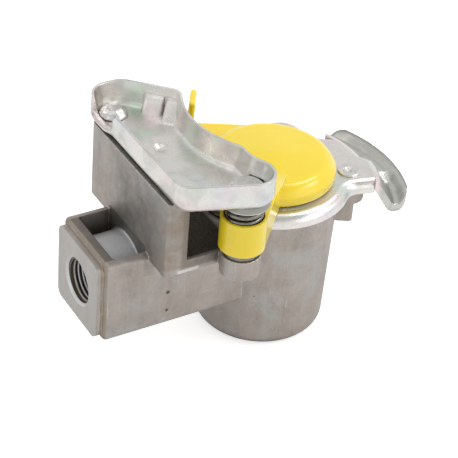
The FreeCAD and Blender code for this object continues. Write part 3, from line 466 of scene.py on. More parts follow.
@dataclass(frozen=True)
class CastAluminium(Recipe):
    """Tumbled sand-grey casting: mottled skin, pits, pale edges that are partly rubbed and partly painted
    highlight, painted shade in its corners, cavity and tower face, painted highlight on the thread, and a few
    machined faces.
    """

    name = "casting"
    pale: Colour = (0.535, 0.49, 0.455)
    dark: Colour = (0.345, 0.307, 0.277)
    taupe: Colour = (0.43, 0.36, 0.31)
    cool: Colour = (0.475, 0.49, 0.48)
    # Pale tone for scratches and the deck strip, and a painted highlight along the edges.
    wear_and_highlight: Colour = (0.78, 0.755, 0.725)
    bright: Colour = (0.80, 0.80, 0.80)
    # Painted highlight on the thread's crests and chamfer.
    cut: Colour = (0.47, 0.455, 0.435)
    tube: Colour = (0.70, 0.72, 0.75)
    # Painted shade laid on the tower face.
    tower_shade: Colour = (0.20, 0.195, 0.185)
    burnt: Colour = (0.29, 0.225, 0.165)
    # Dark tone: real dirt in the pits, painted shade in the corners, the thread roots and the pocket's wall.
    dirt_and_shade: Colour = (0.045, 0.036, 0.022)
    # Near-black painted shade inside the tower's cavity.
    hollow_shade: Colour = (0.013, 0.009, 0.003)
    tower_face: Zone = Zone((-55.5, 1, 66), (1.5, 32, 22), 1.0)
    # Where the painted shade on the tower face is deepest.
    tower_shade_patch: Zone = Zone((-56, -6, 62), (4, 8, 8), 16.0)
    tower_end: Zone = Zone((-51.6, -27, 70), (4.6, 1.0, 17), 1.0)
    tower_hollow: Zone = Zone((-38.5, -1, 66), (8.8, 24, 12), 3.0)
    deck_strip: Zone = Zone((-47, -29.5, 50.2), (3.4, 3.0, 0.7), 0.9)
    collar_step: Zone = Zone((-71.8, 0, 36), (0.75, 40, 40), 0.4)
    pocket: Zone = Zone((-62, 0, 46), (8.4, 13, 7.5), 0.5)
    port_face: Zone = Zone((-75.2, 0, 36), (1.15, 16, 17), 0.12)
    port_chamfer: Zone = Zone((-73.75, 0, 36), (0.44, 9.5, 9.5), 0.05)
    port_bore: Zone = Zone((-66, 0, 36), (9, 10, 10), 0.5)
    thread_crests: Zone = Zone((-66, 0, 36), (7.4, 8, 8), 0.2)
    thread_roots: Zone = Zone((-66, 0, 36), (7.3, 8.05, 8.05), 0.1)
    cup_seats: Zone = Zone((0, 0, 52), (18, 18, 10), 0.3)

    def lay(self, m: MaterialWriter) -> None:
        """Lays the skin, its marks and dirt, painted shade in the corners, the tower's cavity and on the
        tower face, painted highlight on the edges, the port and the machined faces.

        Args:
            m: The material's writer.
        """
        middle, fine = m.mottle(240.0, 0.22), m.mottle(1150.0, 0.26)
        cloud = self.cloud(m, middle, fine)
        marks = m.most(m.scratches((1500.0, 1500.0, 80.0), (0.35, 0.2, 0.0), 0.42),
                       m.scratches((150.0, 1900.0, 1700.0), (0.1, 0.35, 0.3), 0.36))
        skin = m.effect("cast_skin", Grain=1500.0, Pits=210.0, Share=0.10)
        edge = m.edge(0.6 * MM)
        # Pale edges: partly rubbed bare, partly painted highlight.
        edge_wear_and_highlight = m.times(edge.outputs["Mask"], m.ramp(fine, 0.2, 0.75, 0.15, 0.95))
        bore = m.turned(PORT).outputs["Distance"]
        cut = self.machined(m, bore)
        # Mask of the tower's cavity, laid near-black and not metallic: painted shade.
        hollow_shade = m.zone(self.tower_hollow)
        colour = m.coats(
            m.blend(cloud, self.dark, self.pale),
            (self.taupe, m.ramp(m.mottle(46.0, 0.26, 0.6), 0.2, 1.0), 0.45),
            (self.cool, m.ramp(m.mottle(34.0, 0.15, 1.4), 0.45, 0.95), 0.55),
            (self.wear_and_highlight, marks, 0.4),
            # Painted shade on the tower face.
            (self.tower_shade, m.zone(self.tower_face), m.zone(self.tower_shade_patch),
             m.ramp(middle, 0.2, 0.9, 0.8, 0.4)),
            (self.dirt_and_shade, skin.outputs["Pits"], 0.8),
            # Painted shade in the inner corners.
            (self.dirt_and_shade, m.recess(9.0), m.between(middle, 0.75, 0.45)),
            # Painted highlight and rubbing along the edges.
            (self.wear_and_highlight, edge_wear_and_highlight),
            (self.cut, cut, 0.8),
            *self.port_coats(m, bore, fine),
            # Painted shade in the tower's cavity.
            (self.hollow_shade, hollow_shade, m.between(fine, 1.0, 0.9)),
            (self.burnt, m.zone(self.tower_end), m.between(middle, 0.6, 0.2)),
            (self.burnt, m.zone(self.collar_step), m.ramp(m.mottle(130.0, 0.25, 0.8), 0.2, 0.8, 0.35, 0.75)),
            (self.wear_and_highlight, m.zone(self.deck_strip), m.between(middle, 0.55, 1.0)))
        rough = m.minus(m.ramp(cloud, 0.2, 0.8, 0.60, 0.42), m.times(cut, 0.12), m.times(edge_wear_and_highlight, 0.16))
        relief = m.times(m.total(skin.outputs["Height"], m.times(middle, 0.8)), m.between(cut, 1.0, 0.12))
        normal = m.bump(relief, 0.09, 0.85, edge.outputs["Normal"])
        rings = m.turned(PORT, 5200.0).outputs["Height"]
        m.surface(Base_Color=colour, Metallic=m.between(hollow_shade, 0.86, 0.05), Roughness=rough,
                  Specular_IOR_Level=0.1, Normal=m.bump(m.times(rings, cut), 0.02, 0.7, normal))

    def cloud(self, m: MaterialWriter, middle: Socket, fine: Socket) -> Socket:
        """Mixes clouds of four sizes, one of them drawn out into streaks that run down the casting.

        Args:
            m: The material's writer.
            middle: Clouds of a few millimetres.
            fine: Clouds of under a millimetre.

        Returns:
            The clouds' socket.
        """
        drawn = m.add("ShaderNodeMapping", {"Vector": m.where, "Scale": (1.0, 1.0, 0.14)}).outputs["Vector"]
        streaks = m.mottle(210.0, 0.26, 0.3, Vector=drawn)
        parts = ((m.mottle(62.0, 0.20, 0.8), 0.32), (middle, 0.16), (streaks, 0.30), (fine, 0.22))
        return m.ramp(m.total(*(m.times(part, share) for part, share in parts)), 0.14, 0.86)

    def port_coats(self, m: MaterialWriter, bore: Socket, fine: Socket) -> list[tuple]:
        """Gives the port's coats: painted shade in the thread roots, painted highlight on the crests and
        chamfer, painted shade on the pocket's wall, and its tube.

        Args:
            m: The material's writer.
            bore: The distance from the port's axis.
            fine: Clouds of under a millimetre.

        Returns:
            The coats, from the lowest.
        """
        root = m.times(m.zone(self.thread_roots), m.radial(bore, 7.6, 7.9))
        crest = m.times(m.zone(self.thread_crests), m.radial(bore, 7.5, 7.2))
        chamfer = m.times(m.zone(self.port_chamfer), m.radial(bore, 8.95, 8.85), 0.5)
        pocket = m.zone(self.pocket)
        wall = m.times(pocket, m.radial(bore, 13.9, 14.6))
        # Painted shade in the roots and on the pocket's wall; painted highlight on the crests and the
        # chamfer.
        return [(self.dirt_and_shade, root, 0.75), (self.bright, m.most(crest, chamfer), 0.85),
                (self.dirt_and_shade, wall, 0.5), (self.tube, m.minus(pocket, wall), m.between(fine, 0.9, 0.6))]

    def machined(self, m: MaterialWriter, bore: Socket) -> Socket:
        """Masks the port's face and bore, and the seats turned inside the cup.

        Args:
            m: The material's writer.
            bore: The distance from the port's axis.

        Returns:
            The mask.
        """
        inside = m.times(m.radial(bore, 9.2, 9.0), m.zone(self.port_bore))
        cup = m.turned(CUP).outputs["Distance"]
        seats = m.times(m.radial(cup, 17.3, 17.1), m.zone(self.cup_seats))
        return m.most(m.zone(self.port_face), m.most(inside, seats))


@dataclass(frozen=True)
class ZincPlate(Recipe):
    """Pressed sheet steel with a bright zinc coat: rainbow cast, handling marks, bright cut edges, painted
    dark reflections along the edges and painted shade in corners, trough and spring seat.
    """

    name = "zinc_plate"
    base: Colour = (0.80, 0.775, 0.735)
    edge_tone: Colour = (0.86, 0.85, 0.82)
    # Matt grey tone for real patches of lost shine, and painted shade in the wing's trough.
    dull_and_shade: Colour = (0.47, 0.475, 0.43)
    # Painted dark tone: dark reflections along the edges and shade on the spring seat.
    shade_and_dark_reflection: Colour = (0.19, 0.195, 0.175)
    # Painted shade in the corners.
    corner_shade: Colour = (0.13, 0.13, 0.115)
    cast: float = 0.70
    tray: Zone = Zone((-45, 0, 83), (16, 40, 4.2), 1.2)
    tray_stop: Zone = Zone((-33, 20, 84), (4, 5, 6), 3.0)
    spring_seat: Zone = Zone((-30.7, -32.7, 79.2), (9.5, 9.5, 0.9), 0.35)
    wing: Zone = Zone((48, -6, 48), (9.5, 40, 12), 2.0)
    wing_trough: Zone = Zone((46, -8, 50), (12.5, 40, 7.5), 1.5)
    ring_top: Zone = Zone((0, 0, 59.5), (30, 30, 1.2), 0.3)

    def lay(self, m: MaterialWriter) -> None:
        """Lays the plating, dulled patches, marks and edges, painted shade in the corners, the wing's trough
        and on the spring seat, painted dark reflections along the edges, and takes the shine from two shaded
        places.

        Args:
            m: The material's writer.
        """
        smoke, fine = m.mottle(95.0, 0.2, 1.2), m.mottle(900.0, 0.25)
        tray = m.zone(self.tray)
        marks = m.most(m.scratches((2600.0, 150.0, 900.0), (0.0, 0.0, 0.9), 0.7),
                       m.scratches((220.0, 3100.0, 1200.0), (0.0, 0.0, -0.5), 0.4))
        colour = m.coats(
            m.effect("plating", Scale=58.0, Base=self.base, Strength=self.cast).outputs["Color"],
            (self.dull_and_shade, m.ramp(smoke, 0.45, 1.0, 0.0, 0.5)),
            # Painted shade in the wing's trough.
            (self.dull_and_shade, m.zone(self.wing_trough), m.between(smoke, 0.45, 0.85)),
            (self.edge_tone, marks, 0.3),
            (self.edge_tone, m.edge(0.4 * MM).outputs["Mask"], m.ramp(fine, 0.1, 0.7, 0.5, 1.0), 0.7),
            # Painted shade on the spring seat.
            (self.shade_and_dark_reflection, m.zone(self.spring_seat), 0.75),
            # Painted dark reflection along the edges.
            (self.shade_and_dark_reflection, m.edge(0.26 * MM).outputs["Mask"], m.ramp(smoke, 0.1, 0.8, 0.45, 0.75)),
            # Painted shade in the corners, lighter in the tray.
            (self.corner_shade, m.recess(2.4), m.between(tray, 0.40, 0.22)))
        rough = m.total(m.ramp(smoke, 0.1, 0.9, 0.23, 0.38), m.times(marks, 0.08))
        radius = m.total(m.between(tray, 0.45 * MM, 1.9 * MM), m.times(m.zone(self.wing), 1.5 * MM))
        waves = m.texture(m.where, 85.0, 1.0)
        normal = m.bump(waves, 0.35, 0.5, m.edge(radius).outputs["Normal"])
        normal = m.bump(m.total(marks, m.times(fine, 0.35)), 0.008, 0.5, normal)
        cup = m.turned(CUP).outputs["Distance"]
        under_lid = m.times(m.radial(cup, 24.2, 22.6), m.zone(self.ring_top))
        matt = m.most(under_lid, m.times(m.zone(self.tray_stop), 0.8))
        m.surface(Base_Color=colour, Metallic=m.between(matt, 1.0, 0.25), Roughness=rough, Normal=normal)


@dataclass(frozen=True)
class RivetSteel(Recipe):
    """Upset rivet metal: hammered facets, bright high spots, and painted shade deep in the dents and in the
    corners.
    """

    name = "rivet_metal"
    base: Colour = (0.80, 0.79, 0.765)
    dark: Colour = (0.36, 0.35, 0.33)
    edge_tone: Colour = (0.85, 0.85, 0.83)
    # Painted shade in the corners.
    corner_shade: Colour = (0.10, 0.095, 0.085)

    def lay(self, m: MaterialWriter) -> None:
        """Lays the hammered metal with its bright edges, and painted shade in its dents and corners.

        Args:
            m: The material's writer.
        """
        cells = m.add("ShaderNodeTexVoronoi", {"Vector": m.where, "Scale": 620.0}, feature="SMOOTH_F1")
        dents = m.ramp(cells.outputs["Distance"], 0.1, 0.7)
        fine = m.mottle(1700.0, 0.25)
        edge = m.edge(0.3 * MM)
        colour = m.coats(
            # Darker in random patches and deepest in the dents, and in the corners: painted shade.
            self.base, (self.dark, fine, m.between(dents, 0.75, 0.2)),
            (self.edge_tone, edge.outputs["Mask"], 0.5), (self.corner_shade, m.recess(1.6), 0.8))
        normal = m.bump(m.total(dents, m.times(fine, 0.35)), 0.16, 0.9, edge.outputs["Normal"])
        m.surface(Base_Color=colour, Metallic=1.0, Roughness=m.between(fine, 0.2, 0.42), Normal=normal)


@dataclass(frozen=True)
class SpringSteel(Recipe):
    """Drawn spring wire: dark and shiny, with a brighter rubbed skin and painted shade in its inner corners.
    """

    name = "spring_wire"
    base: Colour = (0.17, 0.165, 0.15)
    rubbed: Colour = (0.38, 0.37, 0.34)
    # Painted shade in the corners.
    corner_shade: Colour = (0.03, 0.028, 0.025)

    def lay(self, m: MaterialWriter) -> None:
        """Lays the rubbed wire and painted shade in its inner corners.

        Args:
            m: The material's writer.
        """
        fine = m.mottle(2600.0, 0.22)
        colour = m.coats(self.base, (self.rubbed, m.mottle(420.0, 0.2, 1.0), 0.6),
                         # Painted shade in the inner corners.
                         (self.corner_shade, m.recess(1.5), 0.9))
        m.surface(Base_Color=colour, Metallic=1.0, Roughness=m.between(fine, 0.16, 0.34),
                  Normal=m.bump(fine, 0.01, 0.6))


@dataclass(frozen=True)
class CoverPlastic(Recipe):
    """Glossy injection-moulded plastic in warm yellow: faint flow clouds, moulding grain and scuffs."""

    name = "cover_plastic"
    base: Colour = (0.88, 0.675, 0.026)
    deep: Colour = (0.87, 0.64, 0.014)
    scuff: Colour = (0.98, 0.84, 0.22)

    def lay(self, m: MaterialWriter) -> None:
        """Lays the plastic with its scuffed edges.

        Args:
            m: The material's writer.
        """
        fine = m.mottle(1300.0, 0.28)
        scratch = m.scratches((1900.0, 110.0, 500.0), (0.0, 0.0, 0.4), 0.35)
        edge = m.edge(0.5 * MM)
        rubbed = m.most(m.times(scratch, 0.25), m.times(edge.outputs["Mask"], 0.35))
        colour = m.coats(self.base, (self.deep, m.mottle(38.0, 0.22, 1.5), 0.55), (self.scuff, rubbed))
        rough = m.total(m.between(fine, 0.20, 0.27), m.times(scratch, 0.15))
        normal = m.bump(m.texture(m.where, 60.0, 1.0), 0.12, 0.4, edge.outputs["Normal"])
        m.surface(Base_Color=colour, Roughness=rough, Normal=m.bump(fine, 0.006, 0.5, normal),
                  Coat_Weight=0.5, Coat_Roughness=0.12, Subsurface_Weight=0.35,
                  Subsurface_Radius=(1.0, 0.8, 0.15), Subsurface_Scale=0.0022)


@dataclass(frozen=True)
class TurnedBrass(Recipe):
    """Turned brass with rings from the tool and a light tarnish."""

    name = "turned_brass"
    base: Colour = (0.72, 0.52, 0.24)
    tarnish: Colour = (0.40, 0.27, 0.12)
    edge_tone: Colour = (0.86, 0.68, 0.36)

    def lay(self, m: MaterialWriter) -> None:
        """Lays the turned brass.

        Args:
            m: The material's writer.
        """
        cloud = m.mottle(180.0, 0.2, 0.8)
        rings = m.turned(CUP, 6000.0).outputs["Height"]
        edge = m.edge(0.25 * MM)
        colour = m.coats(self.base, (self.tarnish, cloud, 0.6), (self.edge_tone, edge.outputs["Mask"], 0.6))
        m.surface(Base_Color=colour, Metallic=1.0, Roughness=m.between(cloud, 0.24, 0.42),
                  Normal=m.bump(rings, 0.015, 0.6, edge.outputs["Normal"]))


@dataclass(frozen=True)
class SealRubber(Recipe):
    """Moulded black rubber with a dusty bloom."""

    name = "seal_rubber"
    base: Colour = (0.022, 0.021, 0.020)
    bloom: Colour = (0.075, 0.072, 0.068)

    def lay(self, m: MaterialWriter) -> None:
        """Lays the rubber with its bloom.

        Args:
            m: The material's writer.
        """
        dust, fine = m.mottle(160.0, 0.22, 0.6), m.mottle(2100.0, 0.28)
        m.surface(Base_Color=m.coats(self.base, (self.bloom, dust, fine)),
                  Roughness=m.between(dust, 0.48, 0.72), Normal=m.bump(fine, 0.02, 0.6))


@dataclass(frozen=True)
class ValvePlastic(Recipe):
    """Natural white valve plastic with faint flow clouds."""

    name = "valve_plastic"
    base: Colour = (0.78, 0.77, 0.72)
    shade: Colour = (0.62, 0.60, 0.54)

    def lay(self, m: MaterialWriter) -> None:
        """Lays the clouded plastic.

        Args:
            m: The material's writer.
        """
        fine = m.mottle(1500.0, 0.28)
        m.surface(Base_Color=m.coats(self.base, (self.shade, m.mottle(70.0, 0.2, 1.0), 0.6)),
                  Roughness=m.between(fine, 0.34, 0.48), Normal=m.bump(fine, 0.012, 0.5),
                  Subsurface_Weight=0.15, Subsurface_Radius=(1.0, 0.9, 0.7), Subsurface_Scale=0.0015)


class Finishes:
    """All finishes, each made once."""

    recipes = {
        Finish.CASTING: CastAluminium(),
        Finish.ZINC_PLATE: ZincPlate(),
        Finish.RIVET: RivetSteel(),
        Finish.SPRING: SpringSteel(),
        Finish.COVER: CoverPlastic(),
        Finish.BRASS: TurnedBrass(),
        Finish.RUBBER: SealRubber(),
        Finish.VALVE_PLASTIC: ValvePlastic(),
    }

    def __init__(self) -> None:
        """Builds every material."""
        effects = Effects()
        self.made = {finish: recipe.material(effects) for finish, recipe in self.recipes.items()}

    def __getitem__(self, finish: Finish) -> bpy.types.Material:
        """Returns a finish's material."""
        return self.made[finish]


class GeometryTree(NodeWriter):
    """A Geometry Nodes tree with named inputs, whose result is read out as a plain mesh."""

    def __init__(self, name: str, inputs: dict[str, str]) -> None:
        """Makes the tree with its sockets.

        Args:
            name: The tree's name.
            inputs: The inputs' names with spaces between them, by socket kind.
        """
        super().__init__(bpy.data.node_groups.new(name, "GeometryNodeTree"))
        open_sockets(self.tree, "INPUT", {"Geometry": "Geometry", **inputs})
        open_sockets(self.tree, "OUTPUT", {"Geometry": "Geometry"})
        items = self.tree.interface.items_tree
        self.keys = {item.name: item.identifier for item in items if item.in_out == "INPUT"}
        self.into = self.add("NodeGroupInput").outputs
        self.target = self.add("NodeGroupOutput")

    def shape(self, kind: str, inputs: dict[str, object] | None = None, **settings: object) -> Socket:
        """Adds a geometry node and returns its first output."""
        return self.add("GeometryNode" + kind, inputs, **settings).outputs[0]

    def turns_so_far(self) -> Socket:
        """Gives the turns from the helix's start to each of its points."""
        return self.times(self.shape("SplineParameter"), self.into["Turns"])

    def helix(self, turn: Socket, height: Socket, place: Socket | Point) -> Socket:
        """Winds a curve round an upright axis, from the inputs Steps and Radius.

        Args:
            turn: The turns up to each point.
            height: Each point's height.
            place: Where the axis stands.

        Returns:
            The curve's socket.
        """
        points = self.shape("ResampleCurve", {"Curve": self.shape("CurvePrimitiveLine"),
                                              "Count": self.into["Steps"]})
        angle = self.times(turn, 2 * math.pi)
        spot = self.add("ShaderNodeCombineXYZ", {
            "X": self.times(self.math("COSINE", angle), self.into["Radius"]),
            "Y": self.times(self.math("SINE", angle), self.into["Radius"]), "Z": height}).outputs[0]
        return self.shape("SetPosition", {"Geometry": points, "Position": self.vector("ADD", spot, place)})

    def finish(self, geometry: Socket) -> None:
        """Ends the tree in Realize Instances and Set Material.

        Args:
            geometry: The geometry to put out.
        """
        real = self.shape("RealizeInstances", {"Geometry": geometry})
        dressed = self.shape("SetMaterial", {"Geometry": real, "Material": self.into["Material"]})
        self.feed(self.target.inputs[0], dressed)

    def piece(self, name: str, values: dict[str, object]) -> bpy.types.Object:
        """Evaluates the tree and keeps its result as a plain mesh.

        Args:
            name: The new piece's name.
            values: The inputs' values by name.

        Returns:
            The piece, with no modifier on it.
        """
        holder = bpy.data.objects.new(name + "_path", bpy.data.meshes.new(name + "_path"))
        bpy.context.scene.collection.objects.link(holder)
        modifier = holder.modifiers.new("shape", "NODES")
        modifier.node_group = self.tree
        for key, value in values.items():
            modifier[self.keys[key]] = value
        ready = holder.evaluated_get(bpy.context.evaluated_depsgraph_get())
        mesh = bpy.data.meshes.new_from_object(ready)
        bpy.data.objects.remove(holder)
        mesh.name = name
        return new_piece(mesh)


class CoilTree(GeometryTree):
    """A wire coil on an upright axis, with closed end turns."""

    def __init__(self) -> None:
        """Builds the tree."""
        super().__init__("wire_coil", {"Float": "Radius Wire Bottom Top Turns Ends", "Vector": "Place",
                                       "Int": "Steps Sides", "Material": "Material"})
        turn = self.turns_so_far()
        coil = self.helix(turn, self.height(turn), self.into["Place"])
        section = self.shape("CurvePrimitiveCircle", {"Resolution": self.into["Sides"],
                                                      "Radius": self.times(self.into["Wire"], 0.5)})
        wire = self.shape("CurveToMesh", {"Curve": coil, "Profile Curve": section, "Fill Caps": True})
        self.finish(self.shape("SetShadeSmooth", {"Geometry": wire}))

    def height(self, turn: Socket) -> Socket:
        """Gives the wire's height after a number of turns: slow in the end turns and even between them.

        Args:
            turn: The turns so far.

        Returns:
            The height's socket.
        """
        ends, wire, turns, bottom = (self.into[key] for key in ("Ends", "Wire", "Turns", "Bottom"))
        low = self.math("MINIMUM", turn, ends)
        high = self.most(self.minus(turn, self.minus(turns, ends)), 0.0)
        closed = self.times(self.total(low, high), wire)
        free = self.minus(self.into["Top"], bottom, wire, self.times(ends, 2.0, wire))
        pitch = self.math("DIVIDE", free, self.minus(turns, self.times(ends, 2.0)))
        start = self.total(bottom, self.times(wire, 0.5))
        return self.total(start, self.total(closed, self.times(self.minus(turn, low, high), pitch)))


class ThreadTree(GeometryTree):
    """A female thread along X: one ridge that winds round the bore and fades at its ends."""

    fade_in = 1.6
    fade_out = 1.2
    thinnest = 0.02

    def __init__(self) -> None:
        """Builds the tree."""
        super().__init__("bore_thread", {"Float": "Radius Pitch Depth Turns Crest Root", "Vector": "Start",
                                         "Int": "Steps", "Material": "Material"})
        turn = self.turns_so_far()
        helix = self.helix(turn, self.times(turn, self.into["Pitch"]), (0.0, 0.0, 0.0))
        upright = self.shape("SetCurveNormal", {"Curve": helix}, mode="Z_UP")
        section = self.shape("CurvePrimitiveQuadrilateral", {
            "Height": self.into["Depth"], "Bottom Width": self.into["Root"], "Top Width": self.into["Crest"],
            "Offset": 0.0}, mode="TRAPEZOID")
        raised = self.add("ShaderNodeCombineXYZ", {"X": self.times(self.into["Depth"], -0.5)}).outputs[0]
        inward = self.shape("Transform", {"Geometry": section, "Rotation": (0.0, 0.0, math.radians(90.0)),
                                          "Translation": raised})
        near = self.math("MINIMUM", self.times(turn, self.fade_in), 1.0)
        left = self.minus(self.into["Turns"], turn)
        far = self.math("MINIMUM", self.times(left, self.fade_out), 1.0)
        fade = self.most(self.math("MINIMUM", near, far), self.thinnest)
        ridge = self.shape("CurveToMesh", {"Curve": upright, "Profile Curve": inward, "Scale": fade,
                                           "Fill Caps": True})
        self.finish(self.shape("Transform", {"Geometry": ridge, "Rotation": (0.0, math.radians(90.0), 0.0),
                                             "Translation": self.into["Start"]}))


@dataclass(frozen=True)
class Wire:
    """A spring's round wire: its thickness in millimetres, its turns and the steps it is built in."""

    thick: float
    turns: float
    end_turns: float
    steps: int
    sides: int


@dataclass
class SubAssembly:
    """CAD pieces that keep their shape and get a finish."""

    finishes: Finishes

    def dress(self, finish: Finish, *nodes: str) -> None:
        """Gives CAD pieces their finish.

        Args:
            finish: The finish.
            nodes: The names of the pieces.
        """
        for name in nodes:
            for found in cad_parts[name].material_slots:
                found.material = self.finishes[finish]
            log.info("%s has the finish %s", name, finish.value)

    def keep(self, piece: bpy.types.Object, finish: Finish, body: str) -> bpy.types.Object:
        """Puts a new piece on its body.

        Args:
            piece: The new piece.
            finish: Its finish.
            body: The body that it moves with.

        Returns:
            The piece.
        """
        if not piece.data.materials:
            piece.data.materials.append(self.finishes[finish])
        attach(piece, body)
        log.info("%s rides on %s with %d faces", piece.name, body, len(piece.data.polygons))
        return piece

    def coil(self, name: str, wire: Wire, room: tuple[Vector, Vector], place: Point) -> bpy.types.Object:
        """Winds a spring in the room of its CAD piece.

        Args:
            name: The new piece's name.
            wire: Its wire and turns.
            room: The lowest and highest corner of the room, in metres.
            place: Where its axis stands, in millimetres.

        Returns:
            The spring.
        """
        low, high = room
        return CoilTree().piece(name, {
            "Radius": (high.x - low.x) / 2 - wire.thick * MM / 2, "Wire": wire.thick * MM, "Bottom": low.z,
            "Top": high.z, "Turns": wire.turns, "Ends": wire.end_turns, "Place": Vector(place) * MM,
            "Steps": wire.steps, "Sides": wire.sides, "Material": self.finishes[Finish.SPRING]})


@dataclass
class Casting(SubAssembly):
    """The aluminium body with the thread cut in its port."""

    port_face: float = -74.2
    major_radius: float = 8.02
    thread_depth: float = 0.86
    pitch: float = 1.5
    turns: float = 9.5
    thread_start: float = 0.9
    crest: float = 0.22
    root: float = 1.38
    steps_per_turn: int = 64

    def build(self) -> None:
        """Dresses the casting and cuts its thread."""
        self.dress(Finish.CASTING, "body_casting")
        self.keep(self.thread(), Finish.CASTING, "housing")

    def thread(self) -> bpy.types.Object:
        """Builds the port's thread.

        Returns:
            The thread.
        """
        start = Vector((self.port_face + self.thread_start, *PORT.centre[1:])) * MM
        return ThreadTree().piece("port_thread", {
            "Radius": self.major_radius * MM, "Pitch": self.pitch * MM, "Depth": self.thread_depth * MM,
            "Turns": self.turns, "Crest": self.crest * MM, "Root": self.root * MM, "Start": start,
            "Steps": int(self.turns * self.steps_per_turn), "Material": self.finishes[Finish.CASTING]})


@dataclass
class Claw(SubAssembly):
    """The claw plate with the rivet and the pin that hold it."""

    head_centre: Point = (-49.0, 25.6, 0.0)
    head_radius: float = 5.0
    head_height: float = 2.7
    shank_radius: float = 3.5
    foot_chamfer: float = 0.3
    crown: tuple[tuple[float, float], ...] = ((0.0, 0.35), (1.6, 0.12), (2.6, 0.25), (3.6, 0.75), (4.4, 1.45))
    shoulder_inset: float = 0.15
    shoulder_depth: float = 2.1
    lip_height: float = 0.15
    lip_inset: float = 0.25
    sides: int = 72
    seed: float = 4.0
    dent_scale: float = 0.42
    dent_depth: float = 0.42
    facet_scale: float = 0.35
    facet_depth: float = 0.10
    dent_start: float = 0.05
    dent_fade: float = 0.8
    squeeze: float = 0.035
    squeeze_scale: float = 1.7
    clear: float = 0.01

    def build(self) -> None:
        """Dresses the plate and the pin, and builds the hammered rivet."""
        self.dress(Finish.ZINC_PLATE, "claw_plate")
        self.dress(Finish.RIVET, "pivot_pin")
        rivet = self.keep(self.hammered_rivet(), Finish.RIVET, "housing")
        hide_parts("claw_rivet")

    def hammered_rivet(self) -> bpy.types.Object:
        """Builds the rivet: a shank and a domed head with hammer dents, in the room of its CAD piece.

        Returns:
            The rivet.
        """
        low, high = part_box("claw_rivet")
        top, foot = high.z / MM, low.z / MM
        seat = top - self.head_height
        outline = [(radius, top - depth) for radius, depth in self.crown]
        outline += [(self.head_radius - self.shoulder_inset, top - self.shoulder_depth),
                    (self.head_radius, seat + self.lip_height),
                    (self.head_radius - self.lip_inset, seat), (self.shank_radius, seat),
                    (self.shank_radius, foot + self.foot_chamfer),
                    (self.shank_radius - self.foot_chamfer, foot), (0.0, foot)]
        mesh = turned_mesh("hammered_claw_rivet", outline, self.sides)
        for vertex in mesh.vertices:
            if vertex.co.z > seat + self.dent_start:
                self.dent(vertex, top)
        mesh.transform(Matrix.Translation(Vector(self.head_centre) * MM) @ Matrix.Scale(MM, 4))
        return new_piece(mesh)

    def dent(self, vertex: bpy.types.MeshVertex, top: float) -> None:
        """Moves a point of the head down and in, by a dent and a facet that fade towards the seat.

        Args:
            vertex: The point, in millimetres.
            top: The height of the head's top.
        """
        spot = vertex.co * self.dent_scale + Vector((self.seed, self.seed, self.seed))
        dent = noise.fractal(spot, 1.0, 2.0, 3) * self.dent_depth
        cell = Vector((vertex.co.x * self.facet_scale, vertex.co.y * self.facet_scale, self.seed))
        facet = noise.cell(cell) * self.facet_depth
        reach = min(1.0, (vertex.co.z - top + self.head_height) / self.dent_fade)
        vertex.co.z = min(top - self.clear, vertex.co.z - abs(dent) * reach - facet * reach)
        squeeze = 1.0 - self.squeeze * reach * abs(noise.noise(spot * self.squeeze_scale))
        vertex.co.x *= squeeze
        vertex.co.y *= squeeze


@dataclass
class Guide(SubAssembly):
    """The guide plate with its two rivets."""

    def build(self) -> None:
        """Dresses the plate and its rivets."""
        self.dress(Finish.ZINC_PLATE, "guide_plate")
        self.dress(Finish.RIVET, "guide_rivet_wing", "guide_rivet_ear")


@dataclass
class Cover(SubAssembly):
    """The dust cover with its washer and the spring that holds it down."""

    place: Point = (-30.7, -32.7, 0.0)
    wire: Wire = Wire(1.8, 5.6, 1.0, 260, 20)
    lift_keep: float = 0.77

    def build(self) -> None:
        """Dresses the cover and the washer, and builds the spring."""
        self.dress(Finish.COVER, "dust_cover")
        self.dress(Finish.SPRING, "thrust_washer")
        low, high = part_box("cover_spring")
        spring = self.coil("cover_spring_wire", self.wire, (low, high), self.place)
        self.keep(spring, Finish.SPRING, "cover_pivot")
        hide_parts("cover_spring")
        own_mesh(spring)


@dataclass
class Valve(SubAssembly):
    """The sprung valve, its sleeve and its seals inside the cup."""

    wire: Wire = Wire(1.6, 5.0, 0.9, 240, 16)
    push_keep: float = 0.90

    def build(self) -> None:
        """Dresses the valve's pieces and builds its spring."""
        self.dress(Finish.BRASS, "valve_sleeve")
        self.dress(Finish.RUBBER, "sleeve_o_ring", "stem_o_ring", "valve_seal", "face_seal")
        self.dress(Finish.SPRING, "retaining_ring")
        self.dress(Finish.VALVE_PLASTIC, "valve_plunger")
        low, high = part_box("valve_spring")
        spring = self.coil("valve_spring_wire", self.wire, (low, high), CUP.centre)
        self.keep(spring, Finish.SPRING, "housing")
        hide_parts("valve_spring")
        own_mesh(spring)


def turned_mesh(name: str, outline: list[tuple[float, float]], sides: int) -> bpy.types.Mesh:
    """Turns an outline round the upright axis.

    Args:
        name: The mesh's name.
        outline: Radius and height of each point, from the top axis point to the bottom one, in millimetres.
        sides: How many sides the round has.

    Returns:
        The closed mesh, smooth, in millimetres.
    """
    work = bmesh.new()
    rings = []
    for radius, height in outline:
        if radius == 0.0:
            rings.append([work.verts.new((0.0, 0.0, height))])
            continue
        angles = [2 * math.pi * i / sides for i in range(sides)]
        rings.append([work.verts.new((radius * math.cos(a), radius * math.sin(a), height)) for a in angles])
    for above, below in zip(rings, rings[1:]):
        for i in range(sides):
            j = (i + 1) % sides
            corners = [above[i % len(above)], below[i % len(below)],
                       below[j % len(below)], above[j % len(above)]]
            work.faces.new(list(dict.fromkeys(corners)))
    bmesh.ops.recalc_face_normals(work, faces=work.faces)
    for face in work.faces:
        face.smooth = True
    mesh = bpy.data.meshes.new(name)
    work.to_mesh(mesh)
    work.free()
    return mesh


